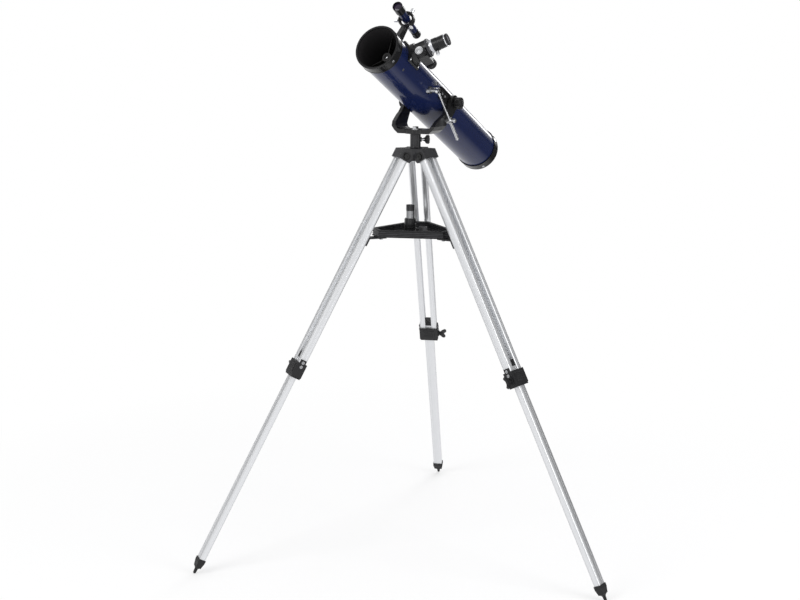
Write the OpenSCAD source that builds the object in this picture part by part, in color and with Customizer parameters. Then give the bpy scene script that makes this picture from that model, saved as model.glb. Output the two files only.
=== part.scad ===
// Reflecting telescope on a fork mount and a three-legged stand with an accessory tray.
// Millimetres, +Z up. The origin is on the floor, under the middle of the outline.
// Leg frame: z runs up the leg from the foot tip, x points outwards, y runs sideways.
// Fork frame: z is the azimuth axis, x points to the focuser side, y points backwards.
// Tube frame: z runs forwards along the tube from the altitude axis, x to the focuser side, y up.
// Focuser frame: x runs out along the drawtube from the tube's axis, z along the tube.

/* [Stand] */
// Radius of the circle through the three foot tips
foot_circle_r = 575; // [500:5:620]
// Lean of each leg from the vertical, in degrees
leg_lean = 28.3; // [27.5:0.1:29]
// Distance of each leg hinge from the azimuth axis
hinge_r = 34; // [34:0.5:36]
// Height of the middle of the leg clamps
clamp_z = 494; // [440:1:540]
// Travel of the lower legs into the upper ones
leg_travel = 430; // [200:5:460]

/* [Leg sections] */
// Distance between the middles of the two rails of a leg
rail_pitch = 30.4; // [28:0.2:34]
// Width of one rail
rail_w = 14; // [12:0.2:15]
// Depth of one rail, outwards
rail_d = 19; // [18:0.2:22]
// Wall of the rails
rail_wall = 2; // [1.4:0.1:2.4]
// How far the lower leg reaches into each rail
rail_groove = 4; // [3:0.1:5]
// Wall of the lower leg tube
leg_wall = 1.5; // [1:0.1:2.5]
// Sliding gap round the lower leg
leg_slack = 0.3; // [0.2:0.05:0.5]
// Wall of the clamp housings
clamp_wall = 3.6; // [2.5:0.1:5]
// Length of a clamp housing along the leg
clamp_l = 40; // [36:1:56]

/* [Feet] */
// Radius of the foot pin
pin_r = 3.8; // [3:0.1:5]
// Length of the foot pin below the foot block
pin_l = 15; // [10:0.5:20]
// Length of the foot block
foot_l = 22; // [18:0.5:30]
// Wall of the foot block round the leg
foot_wall = 1.8; // [1.2:0.1:3]

/* [Head and pillar] */
// Thickness of the lug walls of the head
lug_wall = 3.6; // [2.5:0.1:5]
// Radius of the leg hinge bolts
hinge_bolt_r = 3.5; // [3:0.1:4]
// Radius of the pillar
pillar_r = 13; // [12:0.5:16]
// Height of the pillar above the head
pillar_h = 35; // [30:1:60]
// Radius of the azimuth spindle
spindle_r = 8; // [6:0.5:9]
// Direction of the azimuth lock screw, in degrees
azimuth_lock_at = 8; // [-40:1:60]

/* [Tray] */
// Distance of the tray's corners from the axis
tray_r = 103; // [99:1:108]
// Gap between the tray's corners and the inner faces of the legs
tray_gap = 26; // [18:0.5:34]
// Distance of the eyepiece holes inwards from the tray's corners
tray_hole_in = 43; // [41:0.5:48]
// Distance of the bracket bolts inwards from the tray's corners
tray_bolt_in = 14; // [12:0.5:16]
// Height of the tray's rim
tray_h = 18; // [12:1:24]
// Wall of the tray
tray_wall = 2.2; // [1.6:0.1:3]
// Radius of the eyepiece holes in the tray
tray_hole_r = 16; // [14:0.5:17]

/* [Fork] */
// Thickness of the fork's arms
arm_t = 9; // [7:0.5:12]
// Thickness of the fork's base
fork_base_t = 10; // [8:0.5:14]
// Height of the altitude axis above the fork's base
altitude_rise = 62.5; // [60:0.5:80]
// Distance of the altitude axis behind the azimuth axis
altitude_back = 82.5; // [78:0.5:88]
// Radius of the arm heads
arm_head_r = 19; // [17:0.5:22]
// Radius of the altitude bolts
altitude_bolt_r = 5; // [4:0.1:6]

/* [Aim at rest] */
// Direction in which the tube points, in degrees
aim_azimuth = -109.9; // [-180:0.1:180]
// Height angle of the tube, in degrees
aim_altitude = 26; // [20:0.5:32]

/* [Tube] */
// Outer radius of the main tube
tube_r = 52.5; // [50:0.5:53]
// Wall of the main tube
tube_wall = 1.2; // [0.8:0.1:2]
// Length of the tube ahead of the altitude axis
tube_front = 308; // [290:1:330]
// Length of the tube behind the altitude axis
tube_rear = 325; // [300:1:335]
// Length of the front ring
ring_l = 24; // [18:1:30]
// Length of the rear cap
cap_l = 30; // [24:1:36]
// How far the ring and the cap stand proud of the tube
ring_proud = 1.8; // [1.2:0.1:3]
// Diameter of the main mirror
mirror_d = 76; // [70:1:84]
// Thickness of the main mirror
mirror_t = 10; // [8:0.5:14]

/* [Focuser] */
// Place of the focuser ahead of the altitude axis
focuser_at = 222; // [200:1:240]
// Angle of the focuser round the tube, in degrees
focuser_turn = 26; // [15:1:45]
// Distance of the barrel's mouth from the tube's axis
barrel_end = 98; // [96:1:104]
// Outer radius of the barrel
barrel_r = 20.5; // [19:0.5:23]
// Outer radius of the drawtube
draw_r = 13.6; // [13.2:0.1:14]
// Bore radius of the drawtube's collar, which takes the eyepiece
eyepiece_r = 12.25; // [11:0.05:12.3]
// Travel of the drawtube outwards
draw_travel = 32; // [20:1:36]
// Tooth module of the rack and pinion
tooth_module = 1; // [0.8:0.1:1.2]
// Number of pinion teeth
pinion_teeth = 10; // [8:1:12]
// Radius of the focus knobs
focus_knob_r = 12.5; // [10:0.5:15]

/* [Finder] */
// Place of the finder bracket ahead of the altitude axis
finder_at = 204; // [198:1:212]
// Distance of the finder from the tube's axis
finder_rise = 122; // [112:1:128]
// Radius of the finder's tube
finder_r = 10; // [9:0.5:12]
// Length of the finder
finder_l = 148; // [130:1:160]
// Sideways turn of the finder towards the focuser side, in degrees
finder_yaw = 6.8; // [0:0.1:8]

/* [Altitude rod] */
// Place of the rod's eye ahead of the altitude axis
rod_eye_at = 114; // [108:1:120]
// Distance of the rod's eye below the tube's axis
rod_eye_drop = 17; // [12:0.5:22]
// Distance of the rod's plane from the tube's middle plane
rod_side = 74; // [73.5:0.5:78]
// Angle between the rod and the tube, in degrees
rod_angle = 22.5; // [20:0.1:25]
// Small turn of the rod at rest, which evens out the eye's play over its travel
rod_ease = 1.1; // [0.5:0.1:1.5]
// Bore radius of the rod's eye, which stands loosely round its pin
rod_eye_r = 4.4; // [4:0.1:5]
// Length of the rod from its eye
rod_l = 148; // [142:1:156]
// Radius of the rod
rod_r = 2.3; // [2:0.1:2.6]
// Distance from the rod's eye to its clamp at rest
rod_clamp_at = 101; // [96:1:106]

/* [Clearances] */
// Radial running clearance of shafts in bores
running = 0.05; // [0.03:0.01:0.1]
// Gap between faces that pass each other
face_gap = 0.3; // [0.2:0.05:0.5]
// Radial clearance of pieces that are pushed together
seat = 0.02; // [0:0.01:0.05]

/* [Hidden] */
leg_azimuth = [90, 210, 330];
lock_turn = [0, 60, 90];
hinge_z = pin_r + (foot_circle_r - hinge_r) / tan(leg_lean);
hinge_u = (hinge_z - pin_r) / cos(leg_lean);
head_top = hinge_z + 18;
head_h = 21;
head_core_r = 25;
lug_x = 15;
cavity_r = rail_d / 2 + 3;
clamp_u = (clamp_z - pin_r) / cos(leg_lean);
clamp_low = clamp_u - clamp_l / 2;
clamp_top = clamp_u + clamp_l / 2;
rail_seat = clamp_low + 26;
lock_u = clamp_low + 17;
clamp_screw_u = [rail_seat + 5, clamp_top + 2];
// The tray hangs where the legs leave its corners their gap
tray_z = pin_r + (foot_circle_r - rail_d / 2 / cos(leg_lean) - tray_r - tray_gap) / tan(leg_lean);
bracket_u = (tray_z - 6 - pin_r) / cos(leg_lean);
rail_y = rail_pitch / 2;
rail_out = rail_y + rail_w / 2;
rail_in = rail_y - rail_w / 2;
rail_top = hinge_u + 8;
leg_w = 2 * (rail_in + rail_groove - leg_slack);
leg_d = rail_d - 2 * rail_wall - 2 * leg_slack;
plug_low = clamp_top + 2;
plug_h = 24;
clamp_w = 2 * (rail_out + clamp_wall - 0.8);
clamp_d = rail_d + 2 * clamp_wall;
foot_w = leg_w + 2 * foot_wall;
foot_d = leg_d + 2 * foot_wall;
foot_top = pin_l + foot_l;
leg_bottom = foot_top - 13;

// The axis is set back so that the origin is under the middle of the outline
function front_corner(u) = (foot_circle_r - u * sin(leg_lean) + foot_d / 2 * cos(leg_lean)) / 2
    + foot_w / 2 * sin(60);
front_reach = max(foot_circle_r / 2 + pin_r, front_corner(foot_top - 8));
axis_y = -(foot_circle_r + pin_r - front_reach) / 2;

pillar_top = head_top + pillar_h;
fork_z = pillar_top + face_gap;
fork_top = fork_z + fork_base_t;
altitude_z = fork_top + altitude_rise;
plate_t = 4;
plate_w = 30;
plate_l = 88;
plate_low = -24;
boss_t = 0.7;
arm_in = tube_r + plate_t + boss_t + 0.1;
arm_out = arm_in + arm_t;
knob_in = arm_out + face_gap;
lock_z = head_top + 21;
tray_cut = 21;
tray_floor = 3;
tray_spot = [-11, -3];
cap_spot = [18, 26];
cap_r = 10;

ring_r = tube_r + ring_proud;
bore_r = tube_r - tube_wall;
mirror_back = -tube_rear + 26;
pinion_r = tooth_module * pinion_teeth / 2;
pinion_y = -(draw_r + 3.2 + pinion_r);
pinion_x = 81.6;
rack_step = PI * tooth_module;
saddle_l = 52;
saddle_r = tube_r + 5;
barrel_in = 44;
collar_in = barrel_end + 4;
collar_out = collar_in + 18;
knob_start = 24;
knob_t = 14;
ring_in = finder_r + 6.5;
finder_side = -1.6;
finder_screw_turns = [68, 188, 308];
stud_r = 3;

$fn = 48;

BLACK = [0.07, 0.07, 0.075];
METAL = [0.72, 0.73, 0.75];
CHROME = [0.82, 0.83, 0.85];
NAVY = [0.02, 0.03, 0.16];
GLASS = [0.35, 0.42, 0.5];

// ---------- frames ----------
module at_axis() translate([0, axis_y, 0]) children();
module leg_frame(i) at_axis() rotate([0, 0, leg_azimuth[i]])
    translate([foot_circle_r, 0, pin_r]) rotate([0, -leg_lean, 0]) children();
module fork_frame() at_axis() rotate([0, 0, aim_azimuth + 90]) children();
module tube_frame() fork_frame() translate([0, altitude_back, altitude_z])
    rotate([90 - aim_altitude, 0, 0]) children();
module focuser_frame() tube_frame() translate([0, 0, focuser_at])
    rotate([0, 0, focuser_turn]) children();
module finder_frame() tube_frame() translate([finder_side, finder_rise, finder_at])
    rotate([0, finder_yaw, 0]) children();
// Where the rod passes through its clamp, z along the rod and away from its eye
module clamp_frame() tube_frame() translate([rod_side, -rod_eye_drop, rod_eye_at])
    rotate([180 - rod_angle, 0, 0]) translate([0, 0, rod_clamp_at]) rotate([rod_ease, 0, 0]) children();

// ---------- shapes ----------
// Cylinders along x and along y, between two distances
module rod_x(x0, x1, r) translate([x0, 0, 0]) rotate([0, 90, 0]) cylinder(h = x1 - x0, r = r);
module rod_y(y0, y1, r) translate([0, y0, 0]) rotate([-90, 0, 0]) cylinder(h = y1 - y0, r = r);
// Box between two heights, centred on x and y
module block(z0, z1, x, y) translate([-x / 2, -y / 2, z0]) cube([x, y, z1 - z0]);
// Side-view outline given as [x, z] and spread over y
module slab(half, points) translate([0, half, 0]) rotate([90, 0, 0])
    linear_extrude(2 * half) polygon(points);
// Ring along z with a square section
module hoop(z0, z1, r_in, r_out) difference() {
    translate([0, 0, z0]) cylinder(h = z1 - z0, r = r_out);
    translate([0, 0, z0 - 1]) cylinder(h = z1 - z0 + 2, r = r_in);
}
// Pan-head screw, its head on z = 0 and its shank below
module screw(head_r, head_h, shank_r, shank_l) difference() {
    union() {
        translate([0, 0, -shank_l]) cylinder(h = shank_l + head_h / 2, r = shank_r);
        cylinder(h = head_h * 0.6, r = head_r);
        cylinder(h = head_h, r = head_r * 0.78);
    }
    for (a = [0, 90]) rotate([0, 0, a]) block(head_h * 0.6, head_h + 1, head_r * 1.2, head_r * 0.25);
}
// Knob on z = 0 with hollows cut round its rim
module cut_knob(r, h, hollows, cut_r, deep) difference() {
    union() {
        cylinder(h = h - 1.2, r = r);
        cylinder(h = h, r = r - 1.2);
    }
    for (k = [0:hollows - 1]) rotate([0, 0, k * 360 / hollows])
        translate([r + cut_r - deep, 0, -1]) cylinder(h = h + 2, r = cut_r);
}
// Flat wing grip on z = 0, which widens along z
module wing(neck, span, reach, t) rotate([90, 0, 0]) translate([0, 0, -t / 2]) linear_extrude(t)
    polygon([[-neck, 0], [neck, 0], [span - 2, reach * 0.45], [span, reach * 0.72], [span - 3, reach],
        [3 - span, reach], [-span, reach * 0.72], [2 - span, reach * 0.45]]);

// ---------- stand ----------
function leg_point(x, u) = [foot_circle_r - u * sin(leg_lean) + x * cos(leg_lean),
    pin_r + u * cos(leg_lean) + x * sin(leg_lean)];
function lug_edge(x, z) = foot_circle_r - (z - pin_r) * tan(leg_lean) + x / cos(leg_lean);
module tripod_head() color(BLACK) at_axis() difference() {
    union() {
        translate([0, 0, head_top - head_h]) cylinder(h = head_h, r = head_core_r);
        for (a = leg_azimuth) rotate([0, 0, a]) slab(rail_out + lug_wall + face_gap,
            [[0, head_top], [lug_edge(lug_x, head_top), head_top], leg_point(lug_x, hinge_u - 11),
            leg_point(-lug_x, hinge_u - 11), [11, head_top - head_h], [0, head_top - head_h]]);
        for (a = leg_azimuth) rotate([0, 0, a + 60]) translate([0, -5, head_top - 14]) cube([32, 10, 14]);
    }
    for (a = leg_azimuth) rotate([0, 0, a]) {
        translate([hinge_r, 0, hinge_z]) {
            rod_y(-rail_out - face_gap, rail_out + face_gap, cavity_r);
            rod_y(-rail_out - 20, rail_out + 20, hinge_bolt_r + running);
        }
        slab(rail_out + face_gap, [leg_point(cavity_r, hinge_u), leg_point(-cavity_r, hinge_u),
            leg_point(-cavity_r, hinge_u - 30), leg_point(cavity_r, hinge_u - 30)]);
    }
    translate([0, 0, head_top - 18]) cylinder(h = 30, r = pillar_r - 3 + seat);
    translate([0, 0, head_top - 60]) cylinder(h = 60, r = 7);
}

module pillar() color(BLACK) at_axis() difference() {
    union() {
        translate([0, 0, head_top]) cylinder(h = pillar_h, r = pillar_r);
        translate([0, 0, head_top]) cylinder(h = 3, r = pillar_r + 1.5);
        translate([0, 0, head_top - 18]) cylinder(h = 20, r = pillar_r - 3);
        rotate([0, 0, azimuth_lock_at]) translate([0, 0, lock_z]) rod_x(0, pillar_r + 2.5, 6);
    }
    translate([0, 0, head_top + 2]) cylinder(h = pillar_h, r = spindle_r + running);
    rotate([0, 0, azimuth_lock_at]) translate([0, 0, lock_z]) rod_x(0, pillar_r + 10, 3 + running);
    for (a = [-58, -150, 118]) rotate([0, 0, a]) translate([pillar_r, 0, head_top + 5])
        cylinder(h = pillar_h - 8, r = 1);
}

module azimuth_lock() color(BLACK) at_axis() rotate([0, 0, azimuth_lock_at])
    translate([pillar_r + 9, 0, lock_z]) difference() {
        union() {
            rod_x(0, 6, 4.6);
            rotate([0, 90, 0]) wing(4.5, 11.5, 13, 5);
        }
        rod_x(-1, 9, 3 + seat);
    }
module azimuth_lock_shaft() color(CHROME) at_axis() rotate([0, 0, azimuth_lock_at])
    translate([0, 0, lock_z]) {
        rod_x(spindle_r + 0.4, pillar_r + 18, 3);
        rod_x(pillar_r + 6, pillar_r + 9, 4.2);
    }

module leg_hinge_bolts() color(METAL) for (i = [0:2]) at_axis() rotate([0, 0, leg_azimuth[i]])
    translate([hinge_r, 0, hinge_z]) {
        side = rail_out + lug_wall + face_gap;
        rod_y(-side, side, hinge_bolt_r);
        for (s = [-1, 1]) scale([1, s, 1]) difference() {
            rod_y(side, side + 3.5, hinge_bolt_r + 3);
            translate([0, side + 2.2, 0]) rotate([-90, 0, 0]) cylinder(h = 3, r = 2.6, $fn = 6);
        }
    }

// The two rails of a leg: channels that face each other
module rails(i) color(METAL) leg_frame(i) difference() {
    for (s = [-1, 1]) scale([1, s, 1]) translate([0, 0, rail_seat]) linear_extrude(rail_top - rail_seat)
        difference() {
            translate([-rail_d / 2, rail_in]) square([rail_d, rail_w]);
            translate([rail_wall - rail_d / 2, rail_in - 1])
                square([rail_d - 2 * rail_wall, rail_w - rail_wall + 1]);
            for (x = [-1, 1], y = [-2.6, 2.6]) translate([x * rail_d / 2, rail_y + y])
                square([0.9, 1.2], center = true);
            translate([0, rail_out]) square([5, 0.9], center = true);
        }
    translate([0, 0, hinge_u]) rod_y(-rail_out - 5, rail_out + 5, hinge_bolt_r + seat);
}
module rails_back() rails(0);
module rails_left() rails(1);
module rails_right() rails(2);

// Clamp housing: the rails sit in its upper part, the lower leg slides through
module leg_clamp(i) color(BLACK) leg_frame(i) difference() {
    union() {
        block(clamp_low + 4, clamp_top, clamp_d, clamp_w);
        block(clamp_low, clamp_low + 5, clamp_d - 2, clamp_w - 3);
        block(clamp_top - 1, clamp_top + 9, clamp_d * 0.6, clamp_w);
        block(clamp_low + 10, clamp_top - 6, clamp_d + 2, clamp_w * 0.62);
        translate([0, 0, lock_u]) rod_y(-clamp_w / 2 - 3, 0, 8);
    }
    block(rail_seat, clamp_top + 30, rail_d + 2 * seat, 2 * rail_out + 2 * seat);
    block(clamp_low - 1, clamp_top, leg_d + 2 * leg_slack, leg_w + 2 * leg_slack);
    translate([0, 0, lock_u]) rod_y(-clamp_w, 0, 3 + running);
    for (s = [-1, 1], u = clamp_screw_u) scale([1, s, 1]) translate([0, 0, u])
        rod_y(rail_out, rail_out + 12, 1.5 + seat);
    for (k = [0:3]) for (s = [-1, 1]) translate([s * (clamp_d / 2 + 1), 0, clamp_low + 14 + k * 5])
        block(0, 2, 0.9, clamp_w * 0.5);
}
module leg_clamp_back() leg_clamp(0);
module leg_clamp_left() leg_clamp(1);
module leg_clamp_right() leg_clamp(2);
module leg_clamp_screws() color(CHROME) for (i = [0:2]) leg_frame(i)
    for (s = [-1, 1], u = clamp_screw_u)
        translate([0, s * clamp_w / 2, u]) rotate([-90 * s, 0, 0]) screw(4, 2.4, 1.5, clamp_wall - 1);

module lower_leg(i) color(METAL) leg_frame(i) difference() {
    translate([0, 0, leg_bottom]) linear_extrude(plug_low + 8 - leg_bottom) difference() {
        square([leg_d, leg_w], center = true);
        square([leg_d - 2 * leg_wall, leg_w - 2 * leg_wall], center = true);
        for (x = [-1, 1], y = [-5, 5]) translate([x * leg_d / 2, y]) square([0.8, 1.2], center = true);
    }
}
module lower_leg_back() lower_leg(0);
module lower_leg_left() lower_leg(1);
module lower_leg_right() lower_leg(2);

// Ribbed end plug of a lower leg, which guides it between the rails
module leg_plug(i) color(BLACK) leg_frame(i) difference() {
    union() {
        block(plug_low - 4, plug_low + 9, leg_d - 2 * leg_wall - 2 * seat, leg_w - 2 * leg_wall - 2 * seat);
        block(plug_low + 8, plug_low + plug_h, leg_d, leg_w);
        block(plug_low + 8, plug_low + plug_h, rail_d - 2, 2 * rail_in - 1.2);
    }
    for (k = [0:3]) for (s = [-1, 1]) translate([s * (rail_d / 2 - 1), 0, plug_low + 11 + k * 3.4])
        block(0, 1.5, 1.6, 30);
}
module leg_plug_back() leg_plug(0);
module leg_plug_left() leg_plug(1);
module leg_plug_right() leg_plug(2);

module foot(i) color(BLACK) leg_frame(i) difference() {
    union() {
        sphere(r = pin_r);
        cylinder(h = pin_l + 1, r = pin_r);
        for (k = [0:2]) translate([0, 0, 4 + k * 3.4]) cylinder(h = 1.6, r = pin_r + 0.5);
        block(foot_top - 9, foot_top, foot_d, foot_w);
        slab(foot_w / 2, [[-foot_d / 2, foot_top - 8], [-foot_d * 0.36, pin_l - 1],
            [foot_d * 0.36, pin_l - 1], [foot_d / 2, foot_top - 8]]);
    }
    for (s = [-1, 1]) scale([1, s, 1]) rotate([0, 0, 90]) slab(foot_d, [[foot_w / 2, foot_top - 8],
        [foot_w / 2 + 9, foot_top - 8], [foot_w / 2 + 9, pin_l - 3], [foot_w * 0.37, pin_l - 3]]);
    block(leg_bottom, foot_top + 1, leg_d + 2 * seat, leg_w + 2 * seat);
}
module foot_back() foot(0);
module foot_left() foot(1);
module foot_right() foot(2);

module leg_lock(i) color(BLACK) leg_frame(i) translate([0, 0, lock_u]) {
    rod_y(-clamp_w / 2 - 12, -leg_w / 2 - leg_slack, 3);
    rod_y(-clamp_w / 2 - 12, -clamp_w / 2 - 3 - face_gap, 5.5);
    translate([0, -clamp_w / 2 - 6, 0]) rotate([90, 0, 0]) rotate([0, 0, lock_turn[i]]) difference() {
        wing(6, 15, 15, 6);
        translate([0, 5, 21]) rotate([90, 0, 0]) cylinder(h = 10, r = 11);
    }
}
module leg_lock_back() leg_lock(0);
module leg_lock_left() leg_lock(1);
module leg_lock_right() leg_lock(2);

// ---------- tray ----------
// Three-cornered outline with cut corners that point at the legs
function tray_outline(r) = [for (a = leg_azimuth) each [
    [cos(a) * r + sin(a) * tray_cut, sin(a) * r - cos(a) * tray_cut],
    [cos(a) * r - sin(a) * tray_cut, sin(a) * r + cos(a) * tray_cut]]];
module tray_hollow(z0, z1, inset) translate([0, 0, z0]) linear_extrude(z1 - z0)
    polygon(tray_outline(tray_r - inset * 2.2) * ((tray_r - inset) / tray_r));
tray_holes = [for (a = leg_azimuth) (tray_r - tray_hole_in) * [cos(a), sin(a)]];
module accessory_tray() color(BLACK) at_axis() difference() {
    union() {
        translate([0, 0, tray_z]) linear_extrude(tray_h) polygon(tray_outline(tray_r));
        for (k = [0:3]) translate([0, 0, tray_z + 2 + k * 4.2]) linear_extrude(1.6)
            polygon(tray_outline(tray_r) * 1.012);
    }
    difference() {
        tray_hollow(tray_z + tray_floor, tray_z + tray_h + 1, tray_wall);
        for (h = tray_holes) translate([h[0], h[1], tray_z]) cylinder(h = 7, r = tray_hole_r + 2.4);
    }
    for (h = tray_holes) translate([h[0], h[1], tray_z - 1]) cylinder(h = 12, r = tray_hole_r);
    for (a = leg_azimuth) rotate([0, 0, a]) translate([tray_r - tray_bolt_in, 0, tray_z - 1])
        cylinder(h = 9, r = 2.5 + seat);
}
module tray_brackets() color(BLACK) for (i = [0:2]) difference() {
    union() {
        leg_frame(i) translate([-rail_d / 2 - 2, 0, 0])
            block(bracket_u - 9, bracket_u + 14, 4, 2 * rail_out);
        at_axis() rotate([0, 0, leg_azimuth[i]]) translate([tray_r - tray_bolt_in - 10, -12, tray_z - 5])
            cube([tray_gap + tray_bolt_in + 9, 24, 4]);
    }
    at_axis() rotate([0, 0, leg_azimuth[i]]) translate([tray_r - tray_bolt_in, 0, tray_z - 10])
        cylinder(h = 20, r = 2.5 + seat);
    leg_frame(i) block(bracket_u - 40, bracket_u + 40, rail_d, 2 * rail_out + 20);
}
module tray_bracket_bolts() color(CHROME) for (a = leg_azimuth) at_axis() rotate([0, 0, a])
    translate([tray_r - tray_bolt_in, 0, 0]) {
        translate([0, 0, tray_z - 8]) cylinder(h = 12, r = 2.5);
        translate([0, 0, tray_z + tray_floor]) cut_knob(6, 3.4, 10, 1, 0.6);
        translate([0, 0, tray_z - 8.4]) difference() {
            cylinder(h = 3.4, r = 4.6, $fn = 6);
            translate([0, 0, -1]) cylinder(h = 1.2, r = 3);
        }
    }
module tray_eyepiece() color(BLACK) at_axis() translate([tray_spot[0], tray_spot[1], tray_z + tray_floor])
    difference() {
        union() {
            cylinder(h = 36, r = 14.4);
            cylinder(h = 38, r = 13);
            for (k = [0:4]) translate([0, 0, 6 + k * 4]) cylinder(h = 2, r = 15);
        }
        translate([0, 0, 34]) cylinder(h = 10, r = 10 + seat);
    }
module tray_eyepiece_barrel() color(CHROME) at_axis()
    translate([tray_spot[0], tray_spot[1], tray_z + tray_floor + 34]) difference() {
        union() {
            cylinder(h = 24, r = 10);
            translate([0, 0, 23]) cylinder(h = 14, r = 10.4);
        }
        translate([0, 0, 6]) cylinder(h = 40, r = 8.6);
        hoop(22.4, 23.4, 9.2, 12);
    }
module eyepiece_cap() color(BLACK) at_axis() translate([cap_spot[0], cap_spot[1], tray_z + tray_floor])
    difference() {
        union() {
            cylinder(h = 13, r = cap_r);
            cylinder(h = 3, r = cap_r + 1.2);
        }
        translate([0, 0, 2]) cylinder(h = 14, r = cap_r - 1.6);
    }

// ---------- fork ----------
arm_path = [[-14, 0], [-14, 18], [-5, 29], [33, 50], [altitude_back - 12, fork_base_t + altitude_rise + 14],
    [altitude_back + 15, fork_base_t + altitude_rise - 10], [62, 32], [49, 20], [42, 0]];
// An outline from its right half, top to bottom, and the same half mirrored
function both_sides(half) = concat([for (p = half) [-p.x, p.y]],
    [for (i = [len(half) - 1:-1:0]) half[i]]);
module fork_side() translate([0, 0, fork_z]) rotate([0, 0, 90]) rotate([90, 0, 0])
    translate([0, 0, -100]) linear_extrude(200) polygon(arm_path);
module fork_yoke() color(BLACK) difference() {
    fork_frame() intersection() {
        union() {
            fork_side();
            translate([0, altitude_back, altitude_z]) rod_x(-100, 100, arm_head_r);
            translate([0, 0, fork_z]) cylinder(h = fork_base_t, r = 26);
        }
        // Front view: a flat base that turns up into two arms
        translate([0, 200, fork_z]) rotate([90, 0, 0]) linear_extrude(400) difference() {
            polygon(both_sides([[arm_out, 120], [arm_out, 44], [arm_out - 7, 18], [arm_out - 14, 8],
                [arm_out - 24, 0]]));
            polygon(both_sides([[arm_in, 130], [arm_in, 46], [arm_in - 7, 22], [arm_in - 12, 14],
                [arm_in - 18, fork_base_t]]));
        }
    }
    fork_frame() translate([0, altitude_back, altitude_z]) rod_x(-100, 100, altitude_bolt_r + running);
    fork_frame() translate([0, 0, fork_z - 1]) cylinder(h = 30, r = 5 + seat);
    clamp_frame() rod_x(-30, 4, stud_r + running);
}
module azimuth_spindle() color(METAL) fork_frame() {
    translate([0, 0, head_top + 3]) cylinder(h = pillar_h - 3 + face_gap, r = spindle_r);
    translate([0, 0, fork_z]) cylinder(h = fork_base_t, r = 5);
    translate([0, 0, fork_top]) cylinder(h = 2, r = 11);
    translate([0, 0, fork_top + 2]) cylinder(h = 5, r = 8, $fn = 6);
}
// The altitude knobs turn on the ends of the altitude bolts
module altitude_knob(s) color(BLACK) tube_frame() rotate([0, 90 * s, 0]) translate([0, 0, knob_in])
    difference() {
        union() {
            cylinder(h = 4, r = 9);
            translate([0, 0, 3]) cut_knob(14.5, 14, 7, 8, 1.8);
        }
        translate([0, 0, -1]) cylinder(h = 30, r = altitude_bolt_r + running);
        hoop(16, 19, 8, 10.5);
    }
module altitude_knob_near() altitude_knob(1);
module altitude_knob_far() altitude_knob(-1);
module altitude_bolts() color(METAL) tube_frame() for (s = [-1, 1]) rotate([0, 90 * s, 0]) {
    translate([0, 0, tube_r - 5]) cylinder(h = knob_in - tube_r + 21, r = altitude_bolt_r);
    translate([0, 0, tube_r - 8]) cylinder(h = 4, r = 8, $fn = 6);
}

// ---------- tube ----------
module main_tube() color(NAVY) tube_frame() difference() {
    hoop(-tube_rear + 3, tube_front - 3, bore_r, tube_r);
    rod_x(-60, 60, altitude_bolt_r + seat);
    translate([0, 0, focuser_at]) rotate([0, 0, focuser_turn]) {
        rod_x(30, 60, draw_r + 1.2);
        translate([30, pinion_y + 1.6, -4]) cube([30, -pinion_y, 8]);
    }
}
module front_ring() color(BLACK) tube_frame() difference() {
    union() {
        hoop(tube_front - ring_l, tube_front - 1.2, tube_r, ring_r);
        hoop(tube_front - 3, tube_front, bore_r - 2, ring_r - 1.2);
        hoop(tube_front - ring_l + 1, tube_front - ring_l + 3, tube_r, ring_r + 0.5);
    }
}
module rear_cap() color(BLACK) tube_frame() translate([0, 0, -tube_rear]) difference() {
    rotate_extrude() polygon([[0, 0], [ring_r - 5, 0], [ring_r - 2.2, 0.9], [ring_r - 0.7, 2.6], [ring_r, 5],
        [ring_r, cap_l - 2], [ring_r + 0.6, cap_l - 2], [ring_r + 0.6, cap_l], [tube_r, cap_l], [tube_r, 3],
        [0, 3]]);
    for (a = [30:120:270]) rotate([0, 0, a]) for (t = [-9, 9]) rotate([0, 0, t]) translate([36, 0, -1])
        cylinder(h = 6, r = 2.5 + seat);
    for (k = [0:1]) hoop(-0.5, 0.7, 20 + k * 24, 22 + k * 24);
}
module mirror_cell() color(METAL) tube_frame() difference() {
    translate([0, 0, mirror_back - 6]) cylinder(h = 6, r = bore_r - 3);
    for (a = [30:120:270]) rotate([0, 0, a]) for (t = [-9, 9]) rotate([0, 0, t])
        translate([36, 0, mirror_back - 7]) cylinder(h = 4, r = 2.5 + seat);
    hoop(mirror_back - 3, mirror_back + 1, mirror_d / 2 + 3, mirror_d / 2 + 6);
}
module primary_mirror() color([0.8, 0.85, 0.9]) tube_frame() difference() {
    translate([0, 0, mirror_back]) cylinder(h = mirror_t, r = mirror_d / 2);
    translate([0, 0, mirror_back + mirror_t]) cylinder(h = 2, r1 = 0, r2 = 1.4 * mirror_d, center = true);
}
module collimation_screws() color(CHROME) tube_frame() for (a = [30:120:270]) rotate([0, 0, a])
    for (t = [-9, 9]) rotate([0, 0, t]) translate([36, 0, -tube_rear]) {
        cylinder(h = 26 - 3 - 0.5, r = 2.5);
        translate([0, 0, -5]) cut_knob(t < 0 ? 4.4 : 5.4, 5, 12, 0.8, 0.4);
    }
module spider() color(BLACK) tube_frame() translate([0, 0, focuser_at]) {
    difference() {
        union() {
            translate([0, 0, -12]) cylinder(h = 46, r = 11);
            for (a = [90, 210, 330]) rotate([0, 0, a])
                translate([5, -0.6, 16]) cube([bore_r - 5.2, 1.2, 14]);
        }
        rotate([0, 0, focuser_turn]) rotate([0, -45, 0]) translate([-50, -50, -50]) cube([100, 100, 53]);
        translate([0, 0, 32]) cylinder(h = 5, r = 7);
    }
}
module secondary_mirror() color([0.8, 0.85, 0.9]) focuser_frame() intersection() {
    translate([0, 0, -30]) cylinder(h = 60, r = 10.6);
    rotate([0, -45, 0]) translate([-50, -50, -0.2]) cube([100, 100, 3.2]);
}
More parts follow.
